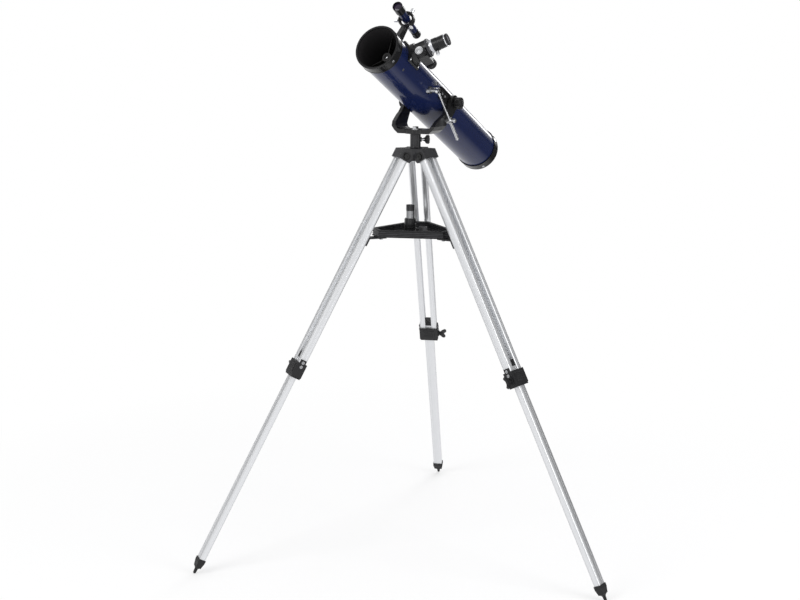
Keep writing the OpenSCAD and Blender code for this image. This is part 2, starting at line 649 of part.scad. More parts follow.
module tube_side_plates() color(BLACK) tube_frame() for (s = [0, 180]) rotate([0, 0, s]) difference() {
    union() {
        translate([tube_r - 12.5, -plate_w / 2, plate_low]) cube([plate_t + 12.5, plate_w, plate_l]);
        rod_x(40, tube_r + plate_t + boss_t, 11);
    }
    translate([0, 0, -40]) cylinder(h = 130, r = tube_r);
    rod_x(20, 80, altitude_bolt_r + seat);
    for (z = [38, 54]) translate([0, 0, z]) rod_x(20, 80, 1.6);
    translate([tube_r + plate_t - 0.6, -11, 16]) cube([2, 22, 44]);
}
module tube_screws() color(CHROME) tube_frame() {
    for (p = [[tube_front - 10, -33], [tube_front - 10, 87], [tube_front - 10, 207],
        [cap_l / 2 - tube_rear, 60], [cap_l / 2 - tube_rear, 180], [cap_l / 2 - tube_rear, 300]])
        rotate([0, 0, p[1]]) translate([ring_r, 0, p[0]]) rotate([0, 90, 0]) screw(3.4, 1.8, 1.5, 0);
    for (a = [0, 180], z = [38, 54]) rotate([0, 0, a]) translate([tube_r + plate_t - 0.6, 0, z])
        rotate([0, 90, 0]) screw(3.4, 1.8, 1.5, 2.5);
    rotate([0, 0, 8]) translate([tube_r, 0, 97]) rotate([0, 90, 0]) cut_knob(5, 7, 12, 0.8, 0.4);
}

// ---------- focuser ----------
module focuser_housing() color(BLACK) focuser_frame() difference() {
    union() {
        intersection() {
            translate([0, 0, -saddle_l / 2]) cylinder(h = saddle_l, r = saddle_r);
            translate([30, -27, -40]) cube([40, 54, 80]);
        }
        rod_x(40, barrel_end, barrel_r);
        rod_x(40, 66, barrel_r + 3.5);
        rod_x(barrel_end - 5, barrel_end - 0.8, barrel_r + 1);
        translate([pinion_x - 11, pinion_y - 9, -20]) cube([22, 16, 40]);
    }
    translate([0, 0, -50]) cylinder(h = 100, r = tube_r + seat);
    rod_x(20, barrel_end + 5, draw_r + running);
    translate([30, pinion_y + 1.6, -3.4]) cube([barrel_end, -pinion_y, 6.8]);
    translate([pinion_x, pinion_y, -22]) cylinder(h = 44, r = 3 + running);
    translate([pinion_x, pinion_y, -7]) cylinder(h = 14, r = pinion_r + 1.6);
    for (y = [-23, 23], z = [-21, 21]) translate([0, y, z]) rod_x(52, 58.2, 2);
    translate([barrel_end - 9, 0, 0]) rod_y(0, 40, 1.6);
}
module drawtube() color(CHROME) focuser_frame() difference() {
    union() {
        rod_x(barrel_in, collar_in + 7, draw_r);
        translate([barrel_in + 2, -draw_r - 1.8, -3]) cube([38, 4, 6]);
        for (k = [-12:-1]) translate([pinion_x + (k + 0.5) * rack_step, -draw_r - 1.7, 0])
            rotate([0, 0, -90]) translate([0, 0, -3]) linear_extrude(6)
                polygon([[0, -0.9], [2, -0.25], [2, 0.25], [0, 0.9]]);
    }
    rod_x(20, 140, eyepiece_r + running);
}
module eyepiece_collar() color(BLACK) focuser_frame() difference() {
    union() {
        rod_x(collar_in, collar_out, 16);
        rod_x(collar_in + 1, collar_in + 3, 17);
        translate([collar_in + 11, 0, 0]) rod_y(-19, 0, 4);
    }
    rod_x(20, 140, eyepiece_r + running);
    rod_x(20, collar_in + 7, draw_r + seat);
    for (k = [0:1]) difference() {
        rod_x(collar_out - 3 - k * 3, collar_out - 2 - k * 3, 30);
        rod_x(0, 200, 15.4);
    }
    translate([collar_in + 11, 0, 0]) rod_y(-30, 0, 1.8 + running);
}
module eyepiece_screw() color(CHROME) focuser_frame() translate([collar_in + 11, 0, 0]) {
    rod_y(-26, -eyepiece_r - 0.1, 1.8);
    translate([0, -22, 0]) rotate([90, 0, 0]) cut_knob(4.4, 7, 12, 0.8, 0.4);
}
module focus_shaft() color(METAL) focuser_frame() translate([pinion_x, pinion_y, 0]) {
    translate([0, 0, -knob_start - knob_t]) cylinder(h = 2 * (knob_start + knob_t), r = 3);
    for (s = [-1, 1]) scale([1, 1, s]) {
        translate([0, 0, knob_start + knob_t - 0.6]) cylinder(h = 1.2, r = 10);
        translate([0, 0, 20 + face_gap]) cylinder(h = knob_start - 20 - face_gap, r = 6);
    }
    difference() {
        translate([0, 0, -5]) cylinder(h = 10, r = pinion_r + 0.6);
        for (k = [0:pinion_teeth - 1]) rotate([0, 0, (k + 0.5) * 360 / pinion_teeth + 90])
            translate([pinion_r - 1.2, 0, -6]) linear_extrude(12)
                polygon([[0, -0.75], [3, -1.9], [3, 1.9], [0, 0.75]]);
    }
}
module focus_knobs() color(BLACK) focuser_frame() translate([pinion_x, pinion_y, 0])
    for (s = [-1, 1]) scale([1, 1, s]) translate([0, 0, knob_start]) difference() {
        cut_knob(focus_knob_r, knob_t, 18, 1.2, 0.6);
        translate([0, 0, -1]) cylinder(h = knob_t + 3, r = 3 + seat);
        translate([0, 0, knob_t - 0.6]) cylinder(h = 3, r = 10 + seat);
    }
module eyepiece() color(BLACK) focuser_frame() difference() {
    union() {
        rod_x(collar_in - 8, collar_out + 2, eyepiece_r);
        rod_x(collar_out, collar_out + 20, 14.8);
        rod_x(collar_out + 20, collar_out + 24, 13.4);
        for (k = [0:3]) rod_x(collar_out + 4 + k * 3.2, collar_out + 5.8 + k * 3.2, 15.3);
    }
    rod_x(20, collar_out + 19, 8);
    rod_x(collar_out + 19, collar_out + 30, 9 + seat);
}
module eyepiece_lens() color(GLASS) focuser_frame() rod_x(collar_out + 19, collar_out + 22, 9);

// ---------- finder ----------
module finder_bracket() color(BLACK) {
    tube_frame() difference() {
        union() {
            translate([0, 0, 205]) intersection() {
                cylinder(h = 42, r = tube_r + 4);
                translate([-14, 30, -1]) cube([28, 40, 44]);
            }
            translate([-6, 0, 0]) rotate([0, 90, 0]) linear_extrude(11) polygon([
                [-238, 54], [-214, 54], [-(finder_at - 7), finder_rise - ring_in],
                [-(finder_at + 7), finder_rise - ring_in]]);
        }
        cylinder(h = 400, r = tube_r);
        translate([0, 46, 209]) rotate([-90, 0, 0]) cylinder(h = 20, r = 1.8);
        translate([finder_side, finder_rise, finder_at]) rotate([0, finder_yaw, 0])
            translate([0, 0, -20]) cylinder(h = 40, r = ring_in + 1);
    }
    finder_frame() difference() {
        hoop(-6, 6, ring_in, ring_in + 3.2);
        for (a = finder_screw_turns) rotate([0, 0, a]) rod_x(0, 40, 1.8 + running);
    }
}
module finder_screws() color(CHROME) finder_frame() for (a = finder_screw_turns) rotate([0, 0, a]) {
    rod_x(finder_r, ring_in + 10, 1.8);
    translate([ring_in + 6.5, 0, 0]) rotate([0, 90, 0]) cut_knob(4.6, 8, 10, 0.8, 0.4);
}
module finder_body() color(BLACK) finder_frame() difference() {
    union() {
        translate([0, 0, -finder_l * 0.36]) cylinder(h = finder_l * 0.7, r = finder_r);
        translate([0, 0, finder_l * 0.3]) cylinder(h = finder_l * 0.16, r = finder_r + 2.2);
        translate([0, 0, finder_l * 0.28]) cylinder(h = 4, r1 = finder_r, r2 = finder_r + 2.2);
        translate([0, 0, -finder_l * 0.42]) cylinder(h = finder_l * 0.08, r = finder_r - 2);
        translate([0, 0, -finder_l * 0.54]) cylinder(h = finder_l * 0.13, r = finder_r - 0.5);
        for (k = [0:2]) translate([0, 0, -finder_l * 0.53 + k * 4]) cylinder(h = 2, r = finder_r);
    }
    translate([0, 0, -finder_l]) cylinder(h = 2 * finder_l, r = finder_r - 4);
    translate([0, 0, finder_l * 0.46 - 8]) cylinder(h = 20, r = finder_r + 1);
}
module finder_lenses() color(GLASS) finder_frame() {
    translate([0, 0, finder_l * 0.46 - 8]) cylinder(h = 3, r = finder_r + 1 - seat);
    translate([0, 0, -finder_l * 0.54 + 3]) cylinder(h = 3, r = finder_r - 4 - seat);
}

// ---------- altitude rod ----------
module rod_bracket() color(METAL) tube_frame() difference() {
    translate([0, -rod_eye_drop, rod_eye_at]) {
        rod_x(40, tube_r + 3, 9);
        rod_x(40, rod_side - 3.9, 5.5);
        rod_x(40, rod_side + 5, 1.5);
        rod_x(rod_side + 3.9, rod_side + 5.6, rod_eye_r + 1);
    }
    cylinder(h = 2 * rod_eye_at, r = tube_r);
}
module altitude_rod() color(CHROME) clamp_frame() translate([0, 0, -rod_clamp_at]) difference() {
    union() {
        rod_x(-2.8, 2.8, rod_eye_r + 2.4);
        translate([0, 0, rod_eye_r + 1]) cylinder(h = rod_l - rod_eye_r - 1, r = rod_r);
        translate([0, 0, rod_eye_r + 3.4]) cylinder(h = 6, r = rod_r + 0.9);
    }
    rod_x(-4, 4, rod_eye_r);
}
module rod_clamp() color(METAL) clamp_frame() difference() {
    union() {
        rod_x(-rod_side + arm_out + face_gap, 6.5, 6.2);
        rod_x(arm_in - 9 - rod_side, -4, stud_r);
        rod_x(arm_in - 10 - rod_side, arm_in - 6.6 - rod_side, stud_r + 2);
        translate([0, 0, -9]) cylinder(h = 74, r = rod_r + 1.3);
        translate([0, 0, -9]) cylinder(h = 4, r = rod_r + 2.2);
        translate([0, 0, 61]) cylinder(h = 4, r = rod_r + 1.8);
        rod_x(6, 12, 2);
        translate([11, 0, 0]) rotate([0, 90, 0]) cut_knob(5, 5, 12, 0.8, 0.4);
    }
    translate([0, 0, -20]) cylinder(h = 100, r = rod_r + running);
}

// ---------- drawing ----------
tripod_head();
pillar();
leg_hinge_bolts();
rails_back();
rails_left();
rails_right();
leg_clamp_back();
leg_clamp_left();
leg_clamp_right();
leg_clamp_screws();
lower_leg_back();
lower_leg_left();
lower_leg_right();
leg_plug_back();
leg_plug_left();
leg_plug_right();
foot_back();
foot_left();
foot_right();
leg_lock_back();
leg_lock_left();
leg_lock_right();
tray_brackets();
tray_bracket_bolts();
accessory_tray();
tray_eyepiece();
tray_eyepiece_barrel();
eyepiece_cap();
azimuth_lock();
azimuth_lock_shaft();
fork_yoke();
azimuth_spindle();
altitude_knob_near();
altitude_knob_far();
main_tube();
front_ring();
rear_cap();
mirror_cell();
primary_mirror();
collimation_screws();
spider();
secondary_mirror();
tube_side_plates();
altitude_bolts();
tube_screws();
focuser_housing();
drawtube();
eyepiece_collar();
focus_shaft();
focus_knobs();
eyepiece();
eyepiece_lens();
eyepiece_screw();
finder_bracket();
finder_screws();
finder_body();
finder_lenses();
rod_bracket();
altitude_rod();
rod_clamp();
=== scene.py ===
"""Looks of a reflecting telescope on its tripod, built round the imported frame."""

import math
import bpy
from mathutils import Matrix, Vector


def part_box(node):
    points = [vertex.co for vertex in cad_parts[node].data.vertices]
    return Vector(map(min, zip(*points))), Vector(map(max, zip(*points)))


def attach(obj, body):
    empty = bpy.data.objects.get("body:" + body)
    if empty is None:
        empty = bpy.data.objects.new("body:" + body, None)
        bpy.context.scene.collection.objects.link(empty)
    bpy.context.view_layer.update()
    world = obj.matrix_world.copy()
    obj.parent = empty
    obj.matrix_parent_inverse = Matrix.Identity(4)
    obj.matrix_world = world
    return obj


bl_info = {
    "name": "Telescope looks",
    "version": (1, 0, 0),
    "blender": (4, 5, 0),
    "location": "View3D > Sidebar > Telescope",
    "description": "Materials, small detail, light and camera for a telescope on a tripod",
    "category": "Object",
}

import bpy
import numpy as np
from bpy.props import FloatProperty, FloatVectorProperty, PointerProperty
from bpy.types import NodeSocket, Operator, Panel, PropertyGroup
from mathutils import Matrix, Vector

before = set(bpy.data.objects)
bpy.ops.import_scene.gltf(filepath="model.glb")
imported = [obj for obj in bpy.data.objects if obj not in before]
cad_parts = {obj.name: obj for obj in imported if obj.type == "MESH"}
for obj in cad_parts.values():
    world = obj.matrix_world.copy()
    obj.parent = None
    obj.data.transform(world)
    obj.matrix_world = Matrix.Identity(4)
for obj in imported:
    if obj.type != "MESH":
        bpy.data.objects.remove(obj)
LEGS = {"back": 90.0, "left": 210.0, "right": 330.0}


# ---------- settings ----------
def length(name, text, value):
    return FloatProperty(name=name, description=text, default=value, unit="LENGTH", precision=5)


def angle(name, text, degrees):
    return FloatProperty(name=name, description=text, default=math.radians(degrees), unit="ROTATION")


def number(name, text, value, **kind):
    return FloatProperty(name=name, description=text, default=value, precision=4, **kind)


def share(name, text, value):
    return FloatProperty(name=name, description=text, default=value, min=0.0, max=1.0, subtype="FACTOR")


def colour(name, text, *value):
    return FloatVectorProperty(name=name, description=text, default=value, size=3, subtype="COLOR")


def point(name, text, *value):
    return FloatVectorProperty(name=name, description=text, default=value, size=3, precision=5,
                               subtype="TRANSLATION", unit="LENGTH")


class ScopeFrames(PropertyGroup):
    """Where the telescope's own axes lie in the row frame, and where finishes change on its nodes."""

    axis_y: length("Axis y", "Place of the azimuth axis along y", -0.14117)
    foot_r: length("Foot circle", "Radius of the circle through the feet", 0.575)
    pin_r: length("Foot pin", "Radius of the foot pins", 0.0038)
    lean: angle("Leg lean", "Lean of the legs from the vertical", 28.3)
    aim_azimuth: angle("Aim azimuth", "Direction in which the tube points", -109.9)
    aim_altitude: angle("Aim altitude", "Height angle of the tube", 26.0)
    altitude_z: length("Altitude axis height", "Height of the altitude axis", 1.134346)
    altitude_back: length("Altitude axis setback", "Distance behind the azimuth axis", 0.0825)
    focuser_at: length("Focuser place", "Distance ahead of the altitude axis", 0.222)
    focuser_turn: angle("Focuser turn", "Angle of the focuser round the tube", 26.0)
    finder_at: length("Finder place", "Distance of the finder ring ahead of the axis", 0.204)
    finder_rise: length("Finder rise", "Distance of the finder from the tube's axis", 0.122)
    finder_side: length("Finder side", "Sideways place of the finder ring", -0.0016)
    finder_yaw: angle("Finder yaw", "Sideways turn of the finder", 6.8)
    hinge_r: length("Hinge place", "Distance of the leg hinges from the azimuth axis", 0.034)
    hinge_z: length("Hinge height", "Height of the leg hinges", 1.00855)
    lock_z: length("Azimuth lock height", "Height of the azimuth lock's screw", 1.04755)
    lock_turn: angle("Azimuth lock turn", "Direction in which the azimuth lock's screw points", 8.0)
    tube_bore: length("Tube bore", "Radius within which the tube is flat black", 0.0518)
    barrel_change: length("Barrel change", "Height above which the spare eyepiece's barrel is black", 0.8716)
    rib_pitch: length("Rib pitch", "Height from one rib of the tray to the next", 0.0042)


class ScopeColours(PropertyGroup):
    """Base colours and finishes."""

    navy: colour("Navy", "Lacquer of the main tube", 0.0075, 0.0135, 0.058)
    black: colour("Black", "Enamel of the cast parts", 0.0075, 0.0075, 0.0085)
    plastic: colour("Plastic", "Moulded black parts", 0.011, 0.011, 0.012)
    aluminium: colour("Aluminium", "Anodised rails and legs", 0.76, 0.77, 0.785)
    chrome: colour("Chrome", "Plated parts", 0.80, 0.81, 0.83)
    glass: colour("Lens coating", "Tint of the lens coating", 0.006, 0.009, 0.018)
    silvering: colour("Mirror", "Aluminised mirror faces", 0.88, 0.90, 0.92)
    flat: colour("Flat black", "Inside of the tube", 0.021, 0.020, 0.021)
    stripe: colour("Light band", "Light band on the eyepiece", 0.62, 0.63, 0.66)


class ScopeStage(PropertyGroup):
    """Light, floor and camera."""

    floor: colour("Floor", "Colour of the floor", 0.93, 0.93, 0.935)
    floor_gloss: colour("Floor in gloss", "Floor as glossy surfaces reflect it", 1.0, 1.0, 1.01)
    floor_flag: share("Floor flag", "Share of that brightness left behind, at the right", 0.12)
    room_flag: share("Room flags", "Share of the room's brightness left where dark flags stand", 0.08)
    room_side: share("Room sides", "Share of the room's brightness left behind, at both sides", 0.42)
    backdrop: colour("Backdrop", "Colour that the camera sees behind the object", 1.0, 1.0, 1.0)
    room_low: colour("Room below", "Colour of the room's light from below", 0.55, 0.55, 0.56)
    room_high: colour("Room above", "Colour of the room's light from above", 0.90, 0.90, 0.90)
    ambient: number("Ambient", "Strength of the surrounding light", 0.85)
    key: number("Key light", "Power of the large soft light at the left", 42.0, unit="POWER")
    fill: number("Fill light", "Power of the soft light at the right", 26.0, unit="POWER")
    rim: number("Rim light", "Power of the light behind and above", 22.0, unit="POWER")
    strips: number("Strip lights", "Power of each tall strip in front that lines the legs", 2.6, unit="POWER")
    edge: number("Edge light", "Power of the panel behind that edges the tube", 9.0, unit="POWER")
    lens: number("Lens", "Focal length of the camera", 58.31, unit="CAMERA")
    camera_at: point("Camera place", "Measured from the foot of the azimuth axis", 0.4386, -3.1672, 1.2811)
    camera_aim: point("Camera aim", "Point looked at, measured in the same way", -0.03586, 0.0, 0.64391)
    camera_roll: angle("Camera roll", "Turn of the camera about its aim", 0.3553)


# ---------- frames ----------
def settings():
    s = bpy.context.scene
    return s.scope_frames, s.scope_colours, s.scope_stage


def turn(axis, a):
    return Matrix.Rotation(a, 4, axis)


def move(x, y, z):
    return Matrix.Translation((x, y, z))


def stand_frame():
    return move(0, settings()[0].axis_y, 0)


def leg_frame(name):
    """z up the leg from the foot tip, x outwards, y sideways."""
    f = settings()[0]
    return (stand_frame() @ turn("Z", math.radians(LEGS[name])) @ move(f.foot_r, 0, f.pin_r)
            @ turn("Y", -f.lean))


def lock_frame():
    """z outwards along the azimuth lock's screw."""
    f = settings()[0]
    return stand_frame() @ turn("Z", f.lock_turn) @ move(0, 0, f.lock_z) @ turn("Y", math.pi / 2)


def fork_frame():
    return stand_frame() @ turn("Z", settings()[0].aim_azimuth + math.pi / 2)


def tube_frame():
    """z forwards along the tube from the altitude axis, x to the focuser side, y upwards."""
    f = settings()[0]
    return fork_frame() @ move(0, f.altitude_back, f.altitude_z) @ turn("X", math.pi / 2 - f.aim_altitude)


def focuser_frame():
    """x out along the drawtube from the tube's axis, z along the tube."""
    f = settings()[0]
    return tube_frame() @ move(0, 0, f.focuser_at) @ turn("Z", f.focuser_turn)


def finder_frame():
    """z forwards along the finder from its ring."""
    f = settings()[0]
    return tube_frame() @ move(f.finder_side, f.finder_rise, f.finder_at) @ turn("Y", f.finder_yaw)


# ---------- materials ----------
class Shader:
    """Short way to build a node tree: each call adds a node and gives its output socket."""

    def __init__(self, name):
        self.mat = bpy.data.materials.new(name)
        self.mat.use_nodes = True
        self.begin(self.mat.node_tree, "Object")

    @classmethod
    def on(cls, tree, place):
        """A shader on a tree that isn't a material's."""
        s = cls.__new__(cls)
        s.begin(tree, place)
        return s

    def begin(self, tree, place):
        self.tree = tree
        tree.nodes.clear()
        self.place = self.add("TexCoord", out=place)

    def add(self, kind, out=0, props=None, **inputs):
        n = self.tree.nodes.new("ShaderNode" + kind)
        for k, v in (props or {}).items():
            setattr(n, k, v)
        for k, v in inputs.items():
            s = n.inputs[int(k[1:])] if k[0] == "_" and k[1:].isdigit() else n.inputs[k.replace("_", " ")]
            if isinstance(v, NodeSocket):
                self.tree.links.new(v, s)
            else:
                s.default_value = (*v, 1.0) if s.type == "RGBA" and len(v) == 3 else v
        return n.outputs[out]

    def math(self, op, a, b=0.0, clamp=False):
        return self.add("Math", props={"operation": op, "use_clamp": clamp}, _0=a, _1=b)

    def vector(self, op, a, b=(0, 0, 0), out=0):
        return self.add("VectorMath", out=out, props={"operation": op}, _0=a, _1=b)

    def along(self, frame, axis=2):
        """Coordinate along one axis of a frame: (p - origin) . direction."""
        d = frame.to_3x3().col[axis].normalized()
        rel = self.vector("SUBTRACT", self.place, tuple(frame.translation))
        return self.vector("DOT_PRODUCT", rel, tuple(d), out="Value")

    def apart(self, frame):
        """Distance from a frame's z axis: the root of x squared plus y squared."""
        x, y = self.along(frame, 0), self.along(frame, 1)
        return self.math("SQRT", self.math("ADD", self.math("MULTIPLY", x, x), self.math("MULTIPLY", y, y)))

    def drawn(self, direction, keep=0.03):
        """Coordinates squeezed along a direction, so that noise turns into long streaks."""
        d = Vector(direction).normalized()
        run = self.vector("DOT_PRODUCT", self.place, tuple(d), out="Value")
        back = self.add("VectorMath", props={"operation": "SCALE"}, _0=tuple(d), Scale=run)
        less = self.add("VectorMath", props={"operation": "SCALE"}, _0=back, Scale=keep - 1.0)
        return self.vector("ADD", self.place, less)

    def noise(self, scale, detail=3.0, rough=0.5, place=None):
        return self.add("TexNoise", out="Fac", Vector=place or self.place, Scale=scale, Detail=detail,
                        Roughness=rough)

    def fit(self, value, low, high, to_low, to_high):
        return self.add("MapRange", Value=value, From_Min=low, From_Max=high, To_Min=to_low, To_Max=to_high)

    def band(self, value, low, high, soft=0.0002):
        """1 between low and high, 0 outside, with short ramps."""
        up = self.fit(value, low - soft, low + soft, 0.0, 1.0)
        down = self.fit(value, high - soft, high + soft, 1.0, 0.0)
        return self.math("MULTIPLY", up, down)

    def mix(self, fac, a, b):
        return self.add("Mix", out=2, props={"data_type": "RGBA"}, _0=fac, _6=self._rgb(a), _7=self._rgb(b))

    @staticmethod
    def _rgb(c):
        return c if isinstance(c, NodeSocket) else (*c[:3], 1.0)

    def section(self, frame, half, centre, corner, crown):
        """Height of a drawn bar's faces. In each direction across it falls by the square of the distance
        from the middle over twice the crown's radius, and past the flat by the square of the distance
        past it over twice the corner's radius."""
        height = 0.0
        for k in range(2):
            across = self.math("ABSOLUTE", self.along(frame, k))
            if centre[k]:
                across = self.math("ABSOLUTE", self.math("SUBTRACT", across, centre[k]))
            past = self.math("MAXIMUM", self.math("SUBTRACT", across, half[k] - corner), 0.0)
            for reach, radius in ((across, crown), (past, corner)):
                drop = self.math("DIVIDE", self.math("MULTIPLY", reach, reach), -2.0 * radius)
                height = self.math("ADD", height, drop)
        return height

    def rounded(self, radius):
        """Normal that rounds the edges softly."""
        return self.add("Bevel", Radius=radius)

    def bump(self, height, strength, distance, normal=None):
        extra = {"Normal": normal} if normal else {}
        return self.add("Bump", Height=height, Strength=strength, Distance=distance, **extra)

    def finish(self, **inputs):
        out = self.add("BsdfPrincipled", **inputs)
        self.add_output(out)
        return self.mat

    def add_output(self, surface, kind="Material"):
        n = self.tree.nodes.new("ShaderNodeOutput" + kind)
        self.tree.links.new(surface, n.inputs["Surface"])


def shade(c, k):
    return tuple(min(1.0, v * k) for v in c)


def lacquer(name, base, inner=None):
    """Gloss lacquer over paint: faint orange peel, dust and a slow change of tone."""
    s = Shader(name)
    tone = s.mix(s.noise(9.0, 2.0), shade(base, 0.82), shade(base, 1.2))
    dust = s.fit(s.noise(1400.0, 2.0), 0.70, 0.80, 0.0, 0.10)
    tone = s.mix(dust, tone, (0.30, 0.31, 0.34))
    rough = s.fit(s.noise(24.0, 4.0), 0.3, 0.7, 0.20, 0.30)
    peel = s.bump(s.noise(420.0, 2.0), 0.04, 0.0004)
    ripple = s.bump(s.noise(260.0, 1.0), 0.03, 0.0003)
    facts = dict(Base_Color=tone, Roughness=rough, Specular_IOR_Level=0.1, Coat_Weight=0.5,
                 Coat_Roughness=0.045, Coat_IOR=1.4, Normal=peel, Coat_Normal=ripple)
    return inner(s, facts) if inner else s.finish(**facts)


def tube_lacquer(c, frame, bore):
    """Navy lacquer outside, flat black inside, told apart by the distance from the tube's axis."""

    def inner(s, facts):
        inside = s.fit(s.apart(frame), bore, bore + 0.0003, 1.0, 0.0)
        grain = s.mix(s.noise(900.0, 3.0), shade(c.flat, 0.7), shade(c.flat, 2.4))
        facts["Base_Color"] = s.mix(inside, facts["Base_Color"], grain)
        facts["Coat_Weight"] = s.fit(inside, 0, 1, 0.5, 0.0)
        facts["Roughness"] = s.fit(inside, 0, 1, 0.24, 0.75)
        return s.finish(**facts)

    return lacquer("tube_lacquer", c.navy, inner)


def enamel(name, base, rough=0.30):
    """Satin enamel on a casting: fine grain, softened gloss and lightly rubbed patches."""
    s = Shader(name)
    tone = s.mix(s.noise(60.0, 4.0), shade(base, 0.7), shade(base, 1.6))
    rub = s.fit(s.noise(30.0, 5.0, 0.7), 0.60, 0.75, 0.0, 0.35)
    tone = s.mix(rub, tone, shade(base, 3.0))
    gloss = s.fit(s.noise(90.0, 3.0), 0.3, 0.7, rough - 0.06, rough + 0.10)
    grain = s.bump(s.noise(1500.0, 2.0), 0.06, 0.0003, s.rounded(0.0014))
    return s.finish(Base_Color=tone, Roughness=gloss, Specular_IOR_Level=0.28, Coat_Weight=0.35,
                    Coat_Roughness=0.12, Normal=grain)


def moulded(name, base, rough=0.42, grain=0.22, inner=None):
    """Moulded plastic: spark-eroded grain, faint flow marks and specks of dust."""
    s = Shader(name)
    cells = s.add("TexVoronoi", out="Distance", Vector=s.place, Scale=1300.0)
    flow = s.noise(35.0, 3.0, 0.6)
    tone = s.mix(flow, shade(base, 0.75), shade(base, 1.5))
    dust = s.fit(s.noise(480.0, 4.0), 0.62, 0.78, 0.0, 0.10)
    tone = s.mix(dust, tone, (0.10, 0.10, 0.10))
    gloss = s.fit(flow, 0.3, 0.7, rough - 0.07, rough + 0.08)
    normal = s.bump(cells, grain, 0.0003, s.bump(s.noise(700.0, 2.0), 0.15, 0.0003, s.rounded(0.0014)))
    facts = dict(Base_Color=tone, Roughness=gloss, Specular_IOR_Level=0.32, Normal=normal)
    return inner(s, facts) if inner else s.finish(**facts)


def drawn_metal(name, base, frame, half, centre=(0.0, 0.0), hollow=None, rough=0.33, metallic=0.7):
    """Anodised extrusion: streaks along its length, small handling marks, satin gloss and edges that catch
    the light. Its section and its hollow are given as half the depth and half the width, and everything
    within the hollow is dull and painted lighter, as painted light against the shade inside the channel."""
    s = Shader(name)
    direction = frame.to_3x3().col[2]
    lines = s.noise(520.0, 2.0, 0.5, s.drawn(direction, 0.002))
    wide = s.noise(110.0, 1.0, 0.5, s.drawn(direction, 0.002))
    marks = s.fit(s.noise(75.0, 5.0, 0.6), 0.64, 0.80, 0.0, 0.06)
    tone = s.mix(lines, shade(base, 0.92), shade(base, 1.05))
    tone = s.mix(s.fit(wide, 0.40, 0.60, 0.0, 0.25), tone, shade(base, 0.84))
    tone = s.mix(marks, tone, shade(base, 0.75))
    gloss = s.math("ADD", s.fit(wide, 0.3, 0.7, rough - 0.06, rough + 0.06), s.math("MULTIPLY", marks, 0.3))
    metal = metallic
    if hollow:
        matt_and_painted_light = s.math("MULTIPLY", *[s.band(s.along(frame, k), -hollow[k], hollow[k]) for k in range(2)])
        metal = s.fit(matt_and_painted_light, 0, 1, metallic, 0.05)
        gloss = s.math("MAXIMUM", gloss, s.math("MULTIPLY", matt_and_painted_light, 0.6))
        # painted light: the channel's inside is made lighter than the rails, standing in for light its shade
        # keeps out
        tone = s.mix(matt_and_painted_light, tone, shade(base, 1.2))
    form = s.bump(s.section(frame, half, centre, corner=0.0035, crown=0.020), 0.6, 1.0)
    return s.finish(Base_Color=tone, Metallic=metal, Roughness=gloss, Normal=s.bump(wide, 0.03, 0.0004, form))


def plated(name, base, rough=0.09):
    """Bright plating: hairline polish marks and a trace of haze."""
    s = Shader(name)
    hair = s.noise(2400.0, 2.0, 0.5, s.drawn((0.3, 0.5, 0.8), 0.15))
    haze = s.noise(120.0, 4.0)
    tone = s.mix(haze, shade(base, 0.90), shade(base, 1.05))
    gloss = s.fit(haze, 0.3, 0.7, rough - 0.03, rough + 0.07)
    return s.finish(Base_Color=tone, Metallic=1.0, Roughness=gloss, Normal=s.bump(hair, 0.04, 0.0001))


def turned_disc(base, frame):
    """Faced metal: fine rings round the knob's axis under a bright polish."""
    s = Shader("turned_disc")
    rings = s.math("SINE", s.math("MULTIPLY", s.apart(frame), 15000.0))
    haze = s.noise(160.0, 4.0)
    tone = s.mix(haze, shade(base, 0.50), shade(base, 0.62))
    return s.finish(Base_Color=tone, Metallic=0.6, Roughness=s.fit(haze, 0.3, 0.7, 0.32, 0.40),
                    Normal=s.bump(rings, 0.03, 0.0001))


def silvered(name, base):
    """Front-surface mirror with a little dust."""
    s = Shader(name)
    specks = s.fit(s.noise(1500.0, 2.0), 0.70, 0.76, 0.0, 0.25)
    return s.finish(Base_Color=s.mix(specks, base, (0.35, 0.35, 0.35)), Metallic=1.0,
                    Roughness=s.fit(specks, 0.0, 0.25, 0.02, 0.3))


def coated(name, tint):
    """Lens: dark clear glass under a coloured anti-reflection coat."""
    s = Shader(name)
    wash = s.noise(40.0, 2.0)
    tone = s.mix(wash, shade(tint, 0.7), (0.035, 0.018, 0.05))
    return s.finish(Base_Color=tone, Roughness=0.03, Specular_IOR_Level=0.35, Coat_Weight=0.5,
                    Coat_Roughness=0.01, Coat_IOR=1.3)


def flat_black(name, base):
    """Flocked or flat painted blades and holders inside the tube."""
    s = Shader(name)
    tone = s.mix(s.noise(800.0, 3.0), shade(base, 0.8), shade(base, 3.0))
    return s.finish(Base_Color=tone, Roughness=0.7, Normal=s.bump(s.noise(2500.0, 2.0), 0.3, 0.0002))


def tray_paint(c, low, pitch):
    """Moulded tray with painted highlights: light lines along the edges of its ribs, which stand a pitch
    apart.
    """

    def inner(s, facts):
        z = s.along(Matrix.Translation((0, 0, low)))
        step = s.math("FRACT", s.math("DIVIDE", z, pitch))
        patchy = s.fit(s.noise(90.0, 3.0), 0.35, 0.6, 0.4, 1.0)
        # painted highlight: light lines along the rib edges, in patches, standing in for the light they catch
        painted_highlight = s.math("MULTIPLY", s.band(step, 0.30, 0.55, 0.06), patchy)
        facts["Base_Color"] = s.mix(painted_highlight, facts["Base_Color"], shade(c.plastic, 7.0))
        return s.finish(**facts)

    return moulded("tray_black", shade(c.plastic, 0.9), 0.30, 0.10, inner)


